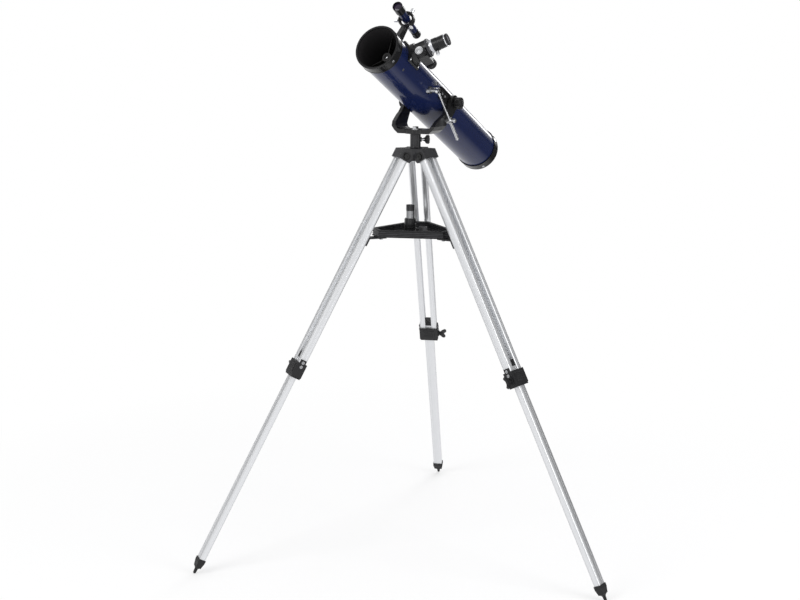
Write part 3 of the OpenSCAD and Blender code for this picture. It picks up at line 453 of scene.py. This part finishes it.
def finder_paint(c, frame):
    """Navy lacquer on the finder's middle, black enamel on its bell and its eye end."""

    def inner(s, facts):
        z = s.along(frame, 2)
        middle = s.band(z, -0.053, 0.0415)
        dark = s.mix(s.noise(200.0, 3.0), shade(c.black, 0.8), shade(c.black, 1.8))
        facts["Base_Color"] = s.mix(middle, dark, facts["Base_Color"])
        facts["Coat_Weight"] = s.fit(middle, 0, 1, 0.25, 0.5)
        return s.finish(**facts)

    return lacquer("finder_paint", c.navy, inner)


def eyepiece_paint(c, frame):
    """Black anodised eyepiece with a light end and a light band at the foot of its collar."""
    s = Shader("eyepiece_paint")
    x = s.along(frame, 0)
    lines = s.noise(700.0, 2.0)
    dark = s.mix(lines, shade(c.black, 0.8), shade(c.black, 1.7))
    light = s.math("MAXIMUM", s.band(x, 0.1383, 0.1450), s.band(x, 0.0900, 0.1075))
    return s.finish(Base_Color=s.mix(light, dark, c.stripe), Metallic=s.math("MULTIPLY", light, 0.6),
                    Roughness=s.fit(lines, 0.3, 0.7, 0.24, 0.34), Specular_IOR_Level=0.3)


def barrel_paint(c, frame, change):
    """Bright barrel with a black end above a height, and fine turning lines on both."""
    s = Shader("barrel_paint")
    z = s.along(frame, 2)
    black = s.fit(z, change - 0.0002, change + 0.0002, 0.0, 1.0)
    lines = s.noise(1500.0, 2.0, 0.5, s.drawn((1, 0, 0), 0.05))
    tone = s.mix(black, s.mix(lines, shade(c.chrome, 0.25), shade(c.chrome, 0.5)), shade(c.black, 1.4))
    return s.finish(Base_Color=tone, Metallic=s.fit(black, 0, 1, 1.0, 0.0),
                    Roughness=s.fit(lines, 0.3, 0.7, 0.12, 0.24), Normal=s.bump(lines, 0.05, 0.0001))


def use(mat, *nodes):
    """Gives a material to CAD nodes."""
    for n in nodes:
        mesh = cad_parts[n].data
        mesh.materials.clear()
        mesh.materials.append(mat)


def legs(stem):
    return [stem + "_" + k for k in LEGS]


class SCOPE_OT_paint(Operator):
    """Gives each CAD node its material."""

    bl_idname = "scope.paint"
    bl_label = "Paint the frame"

    def execute(self, context):
        f, c, _ = settings()
        use(tube_lacquer(c, tube_frame(), f.tube_bore), "main_tube")
        use(finder_paint(c, finder_frame()), "finder_body")
        use(lacquer("black_lacquer", c.black), "front_ring", "rear_cap")
        use(enamel("black_enamel", shade(c.black, 0.7), 0.38), "fork_yoke", "focuser_housing",
            "tube_side_plates", "finder_bracket")
        use(enamel("head_enamel", shade(c.black, 2.0), 0.30), "tripod_head", "pillar")
        use(moulded("moulded_black", c.plastic), *legs("leg_clamp"), *legs("leg_lock"), *legs("leg_plug"),
            "tray_brackets", "focus_knobs")
        use(tray_paint(c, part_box("accessory_tray")[0][2] + 0.002, f.rib_pitch), "accessory_tray")
        use(moulded("cap_grey", (0.115, 0.115, 0.12), 0.35, 0.10), "eyepiece_cap")
        use(moulded("foot_black", c.plastic, 0.55, 0.35), *legs("foot"))
        use(moulded("knob_black", c.plastic, 0.34, 0.18), "altitude_knob_near", "altitude_knob_far",
            "azimuth_lock")
        use(eyepiece_paint(c, focuser_frame()), "eyepiece", "eyepiece_collar")
        use(enamel("eyepiece_black", c.black, 0.28), "tray_eyepiece")
        for name in LEGS:
            leg = leg_frame(name)
            use(drawn_metal("rail_metal_" + name, c.aluminium, leg, half=(0.0095, 0.007),
                            centre=(0.0, 0.0152), hollow=(0.0078, 0.0206)), "rails_" + name)
            use(drawn_metal("leg_metal_" + name, c.aluminium, leg, half=(0.0072, 0.0119)),
                "lower_leg_" + name)
        use(plated("chrome", c.chrome), "drawtube", "altitude_rod", "azimuth_lock_shaft",
            "eyepiece_screw", "finder_screws", "focus_shaft")
        use(barrel_paint(c, stand_frame(), f.barrel_change), "tray_eyepiece_barrel")
        use(enamel("oxide_black", shade(c.black, 0.4), 0.45), "leg_hinge_bolts")
        use(plated("nickel", shade(c.chrome, 0.85), 0.16), "azimuth_spindle", "altitude_bolts",
            "collimation_screws", "tube_screws", "rod_clamp")
        use(plated("zinc", shade(c.chrome, 0.5), 0.24), "leg_clamp_screws", "tray_bracket_bolts",
            "rod_bracket")
        use(enamel("cell_grey", (0.10, 0.10, 0.11), 0.45), "mirror_cell")
        use(silvered("silvering", c.silvering), "primary_mirror", "secondary_mirror")
        use(coated("lens_coating", c.glass), "eyepiece_lens", "finder_lenses")
        use(flat_black("flat_black", shade(c.flat, 0.35)), "spider")
        return {"FINISHED"}


# ---------- surfaces ----------
def placed(frame, points):
    """Points of a frame, in millimetres, as points of the row frame, in metres."""
    m = np.array(frame)
    return np.asarray(points, float) * 0.001 @ m[:3, :3].T + m[:3, 3]


def smooth_path(points, closed=False, rounds=3):
    """Corner cutting: each side is replaced by the points at a quarter and three quarters of it."""
    p = np.asarray(points, float)
    for _ in range(rounds):
        q = np.roll(p, -1, 0) if closed else p[1:]
        a = p if closed else p[:-1]
        cut = np.stack([0.75 * a + 0.25 * q, 0.25 * a + 0.75 * q], 1).reshape(-1, p.shape[1])
        p = cut if closed else np.concatenate([p[:1], cut, p[-1:]])
    return p


def lathe(profile, steps=96, ripple=0.0, count=0):
    """(r, z) carried round z: x = R cos t, y = R sin t, R = r (1 + ripple cos(count t))."""
    r, z = np.asarray(profile, float).T
    t = np.arange(steps) * 2 * np.pi / steps
    wide = r[:, None] * (1 + ripple * np.cos(count * t))
    return np.stack([wide * np.cos(t), wide * np.sin(t), np.repeat(z[:, None], steps, 1)], -1)


def bead(radius, height, thick, tall, steps=96, around=20):
    """Ring of oval section: r = radius + thick cos f, z = height + tall sin f."""
    f = np.arange(around) * 2 * np.pi / around
    return lathe(np.stack([radius + thick * np.cos(f), height + tall * np.sin(f)], 1), steps)


def thread(core, depth, pitch, low, high, steps=32):
    """Screw thread: r = core + depth |2 frac(z / pitch - t / turn) - 1|, z from low to high."""
    z = np.linspace(low, high, int((high - low) / pitch * 8) + 2)[:, None]
    t = np.arange(steps)[None, :] / steps
    r = core + depth * np.abs(2 * ((z / pitch - t) % 1.0) - 1)
    a = 2 * np.pi * t
    return np.stack([r * np.cos(a), r * np.sin(a), z + 0 * t], -1)


def dome(radius, base, height, recess=0.0, steps=64, rings=18):
    """z = base + height (1 - q^2) - recess c, q the share of the radius, c = 1 in a cross near the
    middle and 0 outside it."""
    q = np.linspace(1.0, 0.02, rings)[:, None]
    t = np.arange(steps)[None, :] * 2 * np.pi / steps
    x, y = radius * q * np.cos(t), radius * q * np.sin(t)
    near = np.minimum(np.abs(x), np.abs(y)) / radius
    cross = np.clip((0.16 - near) / 0.06, 0, 1) * np.clip((0.62 - q) / 0.08, 0, 1)
    return np.stack([x, y, base + height * (1 - q ** 2) - recess * cross], -1)


def loft(low, high, rows=14, steps=64):
    """Section (half x, half y, power, z) blended from low to high with s = 3v^2 - 2v^3; each section is
    x = a sgn(cos t) |cos t|^(2/n), y = b sgn(sin t) |sin t|^(2/n)."""
    v = np.linspace(0, 1, rows)[:, None]
    s = v * v * (3 - 2 * v)
    a, b, n = (low[k] + (high[k] - low[k]) * s for k in range(3))
    t = np.arange(steps)[None, :] * 2 * np.pi / steps
    c, d = np.cos(t), np.sin(t)
    x, y = a * np.sign(c) * np.abs(c) ** (2 / n), b * np.sign(d) * np.abs(d) ** (2 / n)
    return np.stack([x, y, low[3] + (high[3] - low[3]) * v + 0 * t], -1)


def mitred(corners_xy, height, thick, tall, around=16):
    """Bead along a closed outline: the section (thick cos f, tall sin f) stands on each corner along the
    line that halves it, widened by 1 / cos of half the turn so that the sides keep their width."""
    p = np.asarray(corners_xy, float)
    ahead = np.roll(p, -1, 0) - p
    ahead /= np.linalg.norm(ahead, axis=1)[:, None]
    side = np.stack([ahead[:, 1], -ahead[:, 0]], 1)
    mid = side + np.roll(side, 1, 0)
    mid /= np.linalg.norm(mid, axis=1)[:, None]
    wide = thick / np.sum(mid * side, axis=1)
    f = -np.arange(around) * 2 * np.pi / around
    xy = p[:, None] + mid[:, None] * (wide[:, None] * np.cos(f))[..., None]
    return np.concatenate([xy, np.broadcast_to(height + tall * np.sin(f), (len(p), around))[..., None]], 2)


def shell(rows, joined=False, start=False, end=False):
    """Points and blocks of faces of a grid whose columns run once round; the rows may join up in a ring,
    and the first and last row may close at a pole in their middle."""
    n, m = rows.shape[:2]
    verts = rows.reshape(-1, 3)
    i, j = np.meshgrid(np.arange(n if joined else n - 1), np.arange(m), indexing="ij")
    on, up = (j + 1) % m, (i + 1) % n
    blocks = [np.stack([i * m + j, i * m + on, up * m + on, up * m + j], -1).reshape(-1, 4)]
    j = np.arange(m)
    for wanted, row, a, b in ((start, 0, (j + 1) % m, j), (end, n - 1, j, (j + 1) % m)):
        if wanted:
            pole = np.full(m, len(verts))
            verts = np.concatenate([verts, rows[row].mean(0)[None]])
            blocks.append(np.stack([row * m + a, row * m + b, pole], -1))
    return verts, blocks


def piece(name, body, slot, mat, *shells, sharp=40.0):
    """One object from a list of (frame, shell), riding on a body."""
    verts, faces, count = [], [], 0
    for frame, (points, blocks) in shells:
        verts.append(placed(frame, points))
        for block in blocks:
            faces += (block + count).tolist()
        count += len(points)
    mesh = bpy.data.meshes.new(name)
    mesh.from_pydata(np.concatenate(verts).tolist(), [], faces)
    mesh.polygons.foreach_set("use_smooth", np.ones(len(mesh.polygons), bool))
    mesh.set_sharp_from_angle(angle=math.radians(sharp))
    mesh.materials.append(mat)
    o = bpy.data.objects.new(name, mesh)
    bpy.context.collection.objects.link(o)
    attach(o, body)
    return o


def solid(profile, **kw):
    """Closed profile carried round, as a ring-shaped shell."""
    return shell(lathe(profile, **kw), joined=True)


def turned(profile):
    """Open profile carried round, as a shell closed at both ends."""
    return shell(lathe(profile), start=True, end=True)


def ring(*sizes):
    """Bead, as a ring-shaped shell."""
    return shell(bead(*sizes), joined=True)


def cap(*sizes):
    """Dome, as a shell closed at its top."""
    return shell(dome(*sizes), end=True)


def screw(*sizes):
    """Thread, as a shell closed at both ends."""
    return shell(thread(*sizes), start=True, end=True)


def paint(name):
    return bpy.data.materials[name]


class SCOPE_OT_tube_rims(Operator):
    """Rolled lip of the front ring, bead of the rear cap, nuts and hub screw of the spider, and the soft
    liner of the finder's ring."""

    bl_idname = "scope.tube_rims"
    bl_label = "Tube rims"

    def execute(self, context):
        t = tube_frame()
        piece("front_lip", "tube", "black_enamel", paint("black_lacquer"),
              (t, ring(53.0, 307.6, 1.3, 1.1, 160)),
              (t, ring(54.2, 286.0, 0.8, 1.0, 160)))
        piece("cap_bead", "tube", "black_enamel", paint("black_lacquer"),
              (t, ring(54.2, -297.0, 0.9, 1.3, 160)),
              (t, ring(54.2, -318.0, 0.7, 0.9, 160)))
        nut = cap(3.4, 0.0, 2.2, 0.8)
        at = [t @ turn("Z", math.radians(a)) @ move(0.0524, 0, 0.245) @ turn("Y", math.pi / 2)
              for a in (210, 330)]
        piece("spider_nuts", "tube", "black_enamel", paint("black_enamel"), *((f, nut) for f in at))
        piece("hub_screw", "tube", "bright_chrome", paint("nickel"),
              (t, cap(4.4, 254.2, 2.6, 0.6)))
        piece("ring_liner", "tube", "matt_black", paint("flat_black"),
              (finder_frame(), ring(14.9, 0.0, 1.7, 4.6, 96)))
        return {"FINISHED"}


class SCOPE_OT_lenses(Operator):
    """Domed faces of the eyepiece's and the finder's lenses."""

    bl_idname = "scope.lenses"
    bl_label = "Lenses"

    def execute(self, context):
        glass = paint("lens_coating")
        out = focuser_frame() @ turn("Y", math.pi / 2)
        back = finder_frame() @ turn("Y", math.pi)
        piece("eye_lens", "eyepiece_set", "coated_glass", glass,
              (out, cap(8.9, 141.9, 1.2)))
        piece("finder_glass", "tube", "coated_glass", glass,
              (finder_frame(), cap(10.9, 62.9, 1.4)),
              (back, cap(5.9, 76.8, 0.9)))
        return {"FINISHED"}


class SCOPE_OT_eyecups(Operator):
    """Soft eyecups of the eyepiece and the finder, and the eyepiece's bright ring."""

    bl_idname = "scope.eyecups"
    bl_label = "Eyecups"

    def execute(self, context):
        rubber = moulded("soft_rubber", settings()[1].plastic, 0.62, 0.3)
        out = focuser_frame() @ turn("Y", math.pi / 2)
        cup = smooth_path([(13.3, 139.6), (14.3, 142.2), (14.2, 145.4), (12.6, 146.6), (10.6, 145.4),
                           (9.1, 142.6), (9.1, 139.6)], True)
        piece("eyecup", "eyepiece_set", "eyepiece_black", rubber, (out, solid(cup)))
        piece("eyepiece_ring", "eyepiece_set", "bright_chrome", paint("chrome"),
              (out, ring(14.7, 139.0, 0.7, 1.0)))
        back = finder_frame() @ turn("Y", math.pi)
        small = smooth_path([(9.4, 74.0), (10.5, 76.4), (10.6, 79.6), (9.2, 81.4), (7.2, 80.2), (6.1, 77.6),
                             (6.1, 74.0)], True)
        piece("finder_eyecup", "tube", "black_plastic", rubber, (back, solid(small)))
        return {"FINISHED"}


class SCOPE_OT_threads(Operator):
    """Screw threads on the visible lengths of the locking and aiming screws."""

    bl_idname = "scope.threads"
    bl_label = "Threads"

    def execute(self, context):
        chrome = paint("chrome")
        lock = lock_frame()
        piece("azimuth_thread", "azimuth_lock_screw", "bright_chrome", chrome,
              (lock, screw(3.0, 0.35, 1.0, 15.7, 18.8)),
              (lock, screw(3.0, 0.35, 1.0, 28.1, 31.1)))
        down = focuser_frame() @ move(0.113, 0, 0) @ turn("X", math.pi / 2)
        piece("eyepiece_thread", "eyepiece_lock", "bright_chrome", chrome,
              (down, screw(1.8, 0.22, 0.7, 19.1, 21.9)))
        at = [finder_frame() @ turn("Z", math.radians(a)) @ turn("Y", math.pi / 2) for a in (68, 188, 308)]
        stem = screw(1.8, 0.22, 0.7, 19.8, 22.9)
        tip = screw(1.8, 0.22, 0.7, 10.3, 16.3)
        piece("finder_threads", "tube", "bright_chrome", chrome, *((f, k) for f in at for k in (stem, tip)))
        return {"FINISHED"}


class SCOPE_OT_knob_faces(Operator):
    """Turned discs on the focus knobs and domed caps on the altitude knobs."""

    bl_idname = "scope.knob_faces"
    bl_label = "Knob faces"

    def execute(self, context):
        at = focuser_frame() @ move(0.0816, -0.0218, 0)
        disc = smooth_path([(10.1, 37.2), (10.1, 38.9), (9.3, 39.4), (8.2, 39.0), (6.8, 38.75), (5.6, 39.1),
                            (4.4, 38.75), (3.0, 39.1), (1.6, 39.3), (0.3, 39.35)], rounds=2)
        faces = [(f, turned(disc)) for f in (at, at @ turn("Y", math.pi))]
        piece("focus_discs", "focus_control", "bright_chrome", turned_disc(settings()[1].chrome, at), *faces)
        face = smooth_path([(8.0, 82.2), (8.0, 84.2), (6.6, 84.9), (3.4, 85.3), (0.3, 85.4)], rounds=2)
        rim = ring(13.0, 83.3, 1.3, 0.9)
        for name, body, a in (("near_cap", "near_knob", 1), ("far_cap", "far_knob", -1)):
            f = tube_frame() @ turn("Y", a * math.pi / 2)
            piece(name, body, "black_plastic", paint("knob_black"), (f, turned(face)), (f, rim))
        return {"FINISHED"}


class SCOPE_OT_stand_trim(Operator):
    """Rolled rim of the tray, coves round the pillar, bosses round the hinge bolts and the azimuth
    lock's rounded grip."""

    bl_idname = "scope.stand_trim"
    bl_label = "Stand trim"

    def execute(self, context):
        frames = settings()[0]
        axis = stand_frame()
        proud = 1.012
        reach, nose = 103.0 * proud, 21.0 * proud
        outline = [(math.cos(a) * reach - s * math.sin(a) * nose,
                    math.sin(a) * reach + s * math.cos(a) * nose)
                   for a in map(math.radians, LEGS.values()) for s in (-1, 1)]
        low, high = (1000 * p[2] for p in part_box("accessory_tray"))
        piece("tray_rim", "stand", "black_plastic", paint("moulded_black"),
              (axis, shell(mitred(outline, high - 0.4, 1.5, 1.3), joined=True)),
              (axis, shell(mitred(outline, low + 0.8, 1.2, 1.0), joined=True)))
        cove = smooth_path([(14.4, 1029.6), (14.8, 1028.6), (15.8, 1027.4), (18.6, 1026.6), (12.0, 1026.2)])
        piece("pillar_coves", "stand", "black_enamel", paint("head_enamel"),
              (axis, shell(lathe(cove[::-1]))),
              (axis, ring(12.7, 1060.4, 0.8, 0.9)))
        hinges = [axis @ turn("Z", math.radians(a)) @ move(frames.hinge_r, 0, frames.hinge_z)
                  for a in LEGS.values()]
        boss = ring(8.9, 26.4, 2.0, 1.2)
        piece("hinge_bosses", "stand", "black_enamel", paint("oxide_black"),
              *((f @ turn("X", -side * math.pi / 2), boss) for f in hinges for side in (-1, 1)))
        across = lock_frame() @ move(0, 0, 0.022)
        sleeve = smooth_path([(4.7, -0.3), (5.0, 1.5), (4.6, 7.0), (3.4, 11.0), (1.2, 12.4)])
        half = np.linspace(-1.5, 1.5, 25)
        web = lathe(np.stack([10.8 * np.cos(half), 7.0 + 6.6 * np.sin(half)], -1), 48)
        piece("lock_grip", "azimuth_lock_screw", "black_plastic", paint("knob_black"),
              (across, shell(lathe(sleeve, 32), end=True)),
              (across @ Matrix.Diagonal((1.0, 0.34, 1.0, 1.0)), shell(web, start=True, end=True)))
        return {"FINISHED"}


class SCOPE_OT_foot_skirts(Operator):
    """Skirts that run from each foot's pin into its square socket."""

    bl_idname = "scope.foot_skirts"
    bl_label = "Foot skirts"

    def execute(self, context):
        skirt = shell(loft((4.3, 4.3, 2.0, 8.5), (7.4, 10.8, 5.0, 16.5)), start=True, end=True)
        for name in LEGS:
            piece("foot_skirt_" + name, name + "_leg", "black_plastic", paint("foot_black"),
                  (leg_frame(name), skirt))
        return {"FINISHED"}


class SCOPE_OT_focuser_trim(Operator):
    """Rounded end of the focuser barrel and the screws of its saddle."""

    bl_idname = "scope.focuser_trim"
    bl_label = "Focuser trim"

    def execute(self, context):
        f = focuser_frame()
        out = f @ turn("Y", math.pi / 2)
        piece("barrel_rim", "tube", "black_enamel", paint("black_enamel"),
              (out, ring(19.0, 97.9, 1.6, 0.8)),
              (out, ring(21.4, 95.1, 0.7, 1.4)))
        head = cap(3.5, 51.4, 3.2, 0.9)
        at = [f @ move(0, y, z) @ turn("Y", math.pi / 2) for y in (-0.023, 0.023) for z in (-0.021, 0.021)]
        piece("saddle_screws", "tube", "bright_chrome", paint("chrome"), *((a, head) for a in at))
        return {"FINISHED"}


# ---------- stage ----------
def area(name, place, target, size, power):
    """White rectangular light at a place, turned to a target."""
    data = bpy.data.lights.new(name, "AREA")
    data.shape, data.size, data.size_y = "RECTANGLE", *size
    data.energy = power
    o = bpy.data.objects.new(name, data)
    o.location = place
    o.rotation_euler = (Vector(target) - Vector(place)).to_track_quat("-Z", "Y").to_euler()
    bpy.context.collection.objects.link(o)
    return o


class SCOPE_OT_stage(Operator):
    """Sets the floor, the soft studio light and the camera."""

    bl_idname = "scope.stage"
    bl_label = "Set the stage"

    def execute(self, context):
        frames, _, st = settings()
        scene = context.scene
        scene.world = self.room(st)
        self.floor(context, st)
        mid = (0.0, frames.axis_y, 0.9)
        area("key", (-2.2, -2.6, 2.6), mid, (1.8, 1.8), st.key)
        area("fill", (2.8, -1.4, 1.9), mid, (1.4, 2.2), st.fill)
        area("rim", (0.6, 2.4, 3.0), mid, (2.4, 1.2), st.rim)
        area("edge", (0.88, 3.2, 1.55), (0.1, 0.0, 1.15), (0.50, 1.0), st.edge)
        area("strip_left", (-1.3, -2.9, 0.95), (0.25, -0.3, 0.6), (0.35, 1.9), st.strips)
        area("strip_right", (0.85, -3.25, 0.85), (-0.25, -0.3, 0.6), (0.35, 1.7), st.strips)
        scene.camera = self.camera(context, st)
        scene.view_settings.view_transform = "Standard"
        return {"FINISHED"}

    @staticmethod
    def camera(context, st):
        """Camera turned level from its place to its aim and then rolled about its own z axis."""
        cam = bpy.data.cameras.new("camera")
        cam.lens, cam.sensor_width, cam.sensor_fit = st.lens, 36.0, "HORIZONTAL"
        cam.clip_start, cam.clip_end = 0.05, 60.0
        o = bpy.data.objects.new("camera", cam)
        place, target = (stand_frame() @ Vector(p) for p in (st.camera_at, st.camera_aim))
        level = (target - place).to_track_quat("-Z", "Y").to_matrix().to_4x4()
        o.matrix_world = move(*place) @ level @ turn("Z", st.camera_roll)
        context.collection.objects.link(o)
        return o

    @staticmethod
    def room(st):
        """White for the camera and a soft grey ramp for light. In gloss the half behind the object has two
        dark flags and dimmer sides."""
        world = bpy.data.worlds.new("studio")
        world.use_nodes = True
        world.cycles.sampling_method = "NONE"
        s = Shader.on(world.node_tree, "Generated")
        x, y, z = (s.add("SeparateXYZ", out=k, Vector=s.place) for k in range(3))
        ramp = s.mix(s.fit(z, -1.0, 1.0, 0.0, 1.0), st.room_low, st.room_high)
        flags = s.math("MAXIMUM", s.band(x, -0.20, 0.17, 0.03), s.band(x, 0.55, 0.93, 0.03))
        flags = s.math("MULTIPLY", flags, s.fit(z, 0.20, 0.30, 1.0, 0.0))
        side = s.fit(s.math("ABSOLUTE", x), 0.50, 0.70, 1.0, st.room_side)
        behind = s.math("MULTIPLY", s.fit(y, 0.0, 0.1, 0.0, 1.0), s.add("LightPath", out="Is Glossy Ray"))
        kept = s.math("MULTIPLY", side, s.fit(flags, 0.0, 1.0, 1.0, st.room_flag))
        left = s.math("ADD", s.math("MULTIPLY", behind, kept), s.math("SUBTRACT", 1.0, behind))
        left = s.math("MULTIPLY", left, st.ambient)
        light = s.add("Background", Color=ramp, Strength=left)
        white = s.add("Background", Color=tuple(st.backdrop), Strength=1.0)
        seen = s.add("MixShader", _0=s.add("LightPath", out="Is Camera Ray"), _1=light, _2=white)
        s.add_output(seen, "World")
        return world

    @staticmethod
    def floor(context, st):
        """Floor that the camera sees as the backdrop's white, darkened only by the soft shadow. In gloss it
        is evenly white, with a dark flag behind, at the right."""
        mesh = bpy.data.meshes.new("floor")
        r = 14.0
        mesh.from_pydata([(-r, -r, 0), (r, -r, 0), (r, r, 0), (-r, r, 0)], [], [(0, 1, 2, 3)])
        o = bpy.data.objects.new("floor", mesh)
        o.location.z = -0.0002
        s = Shader("floor")
        near = s.vector("LENGTH", s.place, out="Value")
        plain = s.add("BsdfDiffuse", Color=tuple(st.floor))
        white = s.add("Emission", Color=(1.0, 1.0, 1.0, 1.0), Strength=1.0)
        x, y = (s.add("SeparateXYZ", out=k, Vector=s.place) for k in range(2))
        flag = s.math("MULTIPLY", s.fit(x, 0.6, 1.4, 0.0, 1.0), s.fit(y, -0.2, 0.1, 0.0, 1.0))
        kept = s.fit(flag, 0.0, 1.0, 1.0, st.floor_flag)
        quiet = s.add("Emission", Color=tuple(st.floor_gloss), Strength=kept)
        share = s.math("MULTIPLY", s.fit(near, 0.5, 1.6, 0.45, 1.0), s.add("LightPath", out="Is Camera Ray"))
        for_eye = s.add("MixShader", _0=share, _1=plain, _2=white)
        s.add_output(s.add("MixShader", _0=s.add("LightPath", out="Is Glossy Ray"), _1=for_eye, _2=quiet))
        s.mat.cycles.emission_sampling = "NONE"
        mesh.materials.append(s.mat)
        context.collection.objects.link(o)


class SCOPE_PT_panel(Panel):
    """Sidebar panel with the settings and the steps."""

    bl_idname = "SCOPE_PT_panel"
    bl_label = "Telescope"
    bl_space_type = "VIEW_3D"
    bl_region_type = "UI"
    bl_category = "Telescope"

    def draw(self, context):
        for group in settings():
            box = self.layout.box()
            for key in group.__annotations__:
                box.prop(group, key)
        for step in STEPS:
            self.layout.operator(step.bl_idname)


STEPS = (SCOPE_OT_paint, SCOPE_OT_tube_rims, SCOPE_OT_lenses, SCOPE_OT_eyecups, SCOPE_OT_threads,
         SCOPE_OT_knob_faces, SCOPE_OT_stand_trim, SCOPE_OT_foot_skirts, SCOPE_OT_focuser_trim,
         SCOPE_OT_stage)
GROUPS = {"scope_frames": ScopeFrames, "scope_colours": ScopeColours, "scope_stage": ScopeStage}


def register():
    for c in (*GROUPS.values(), *STEPS, SCOPE_PT_panel):
        bpy.utils.register_class(c)
    for name, c in GROUPS.items():
        setattr(bpy.types.Scene, name, PointerProperty(type=c))


def unregister():
    for name in GROUPS:
        delattr(bpy.types.Scene, name)
    for c in (SCOPE_PT_panel, *reversed(STEPS), *reversed(tuple(GROUPS.values()))):
        bpy.utils.unregister_class(c)


def main():
    register()
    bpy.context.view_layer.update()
    for step in STEPS:
        group, name = step.bl_idname.split(".")
        getattr(getattr(bpy.ops, group), name)()


if __name__ == "__main__":
    main()
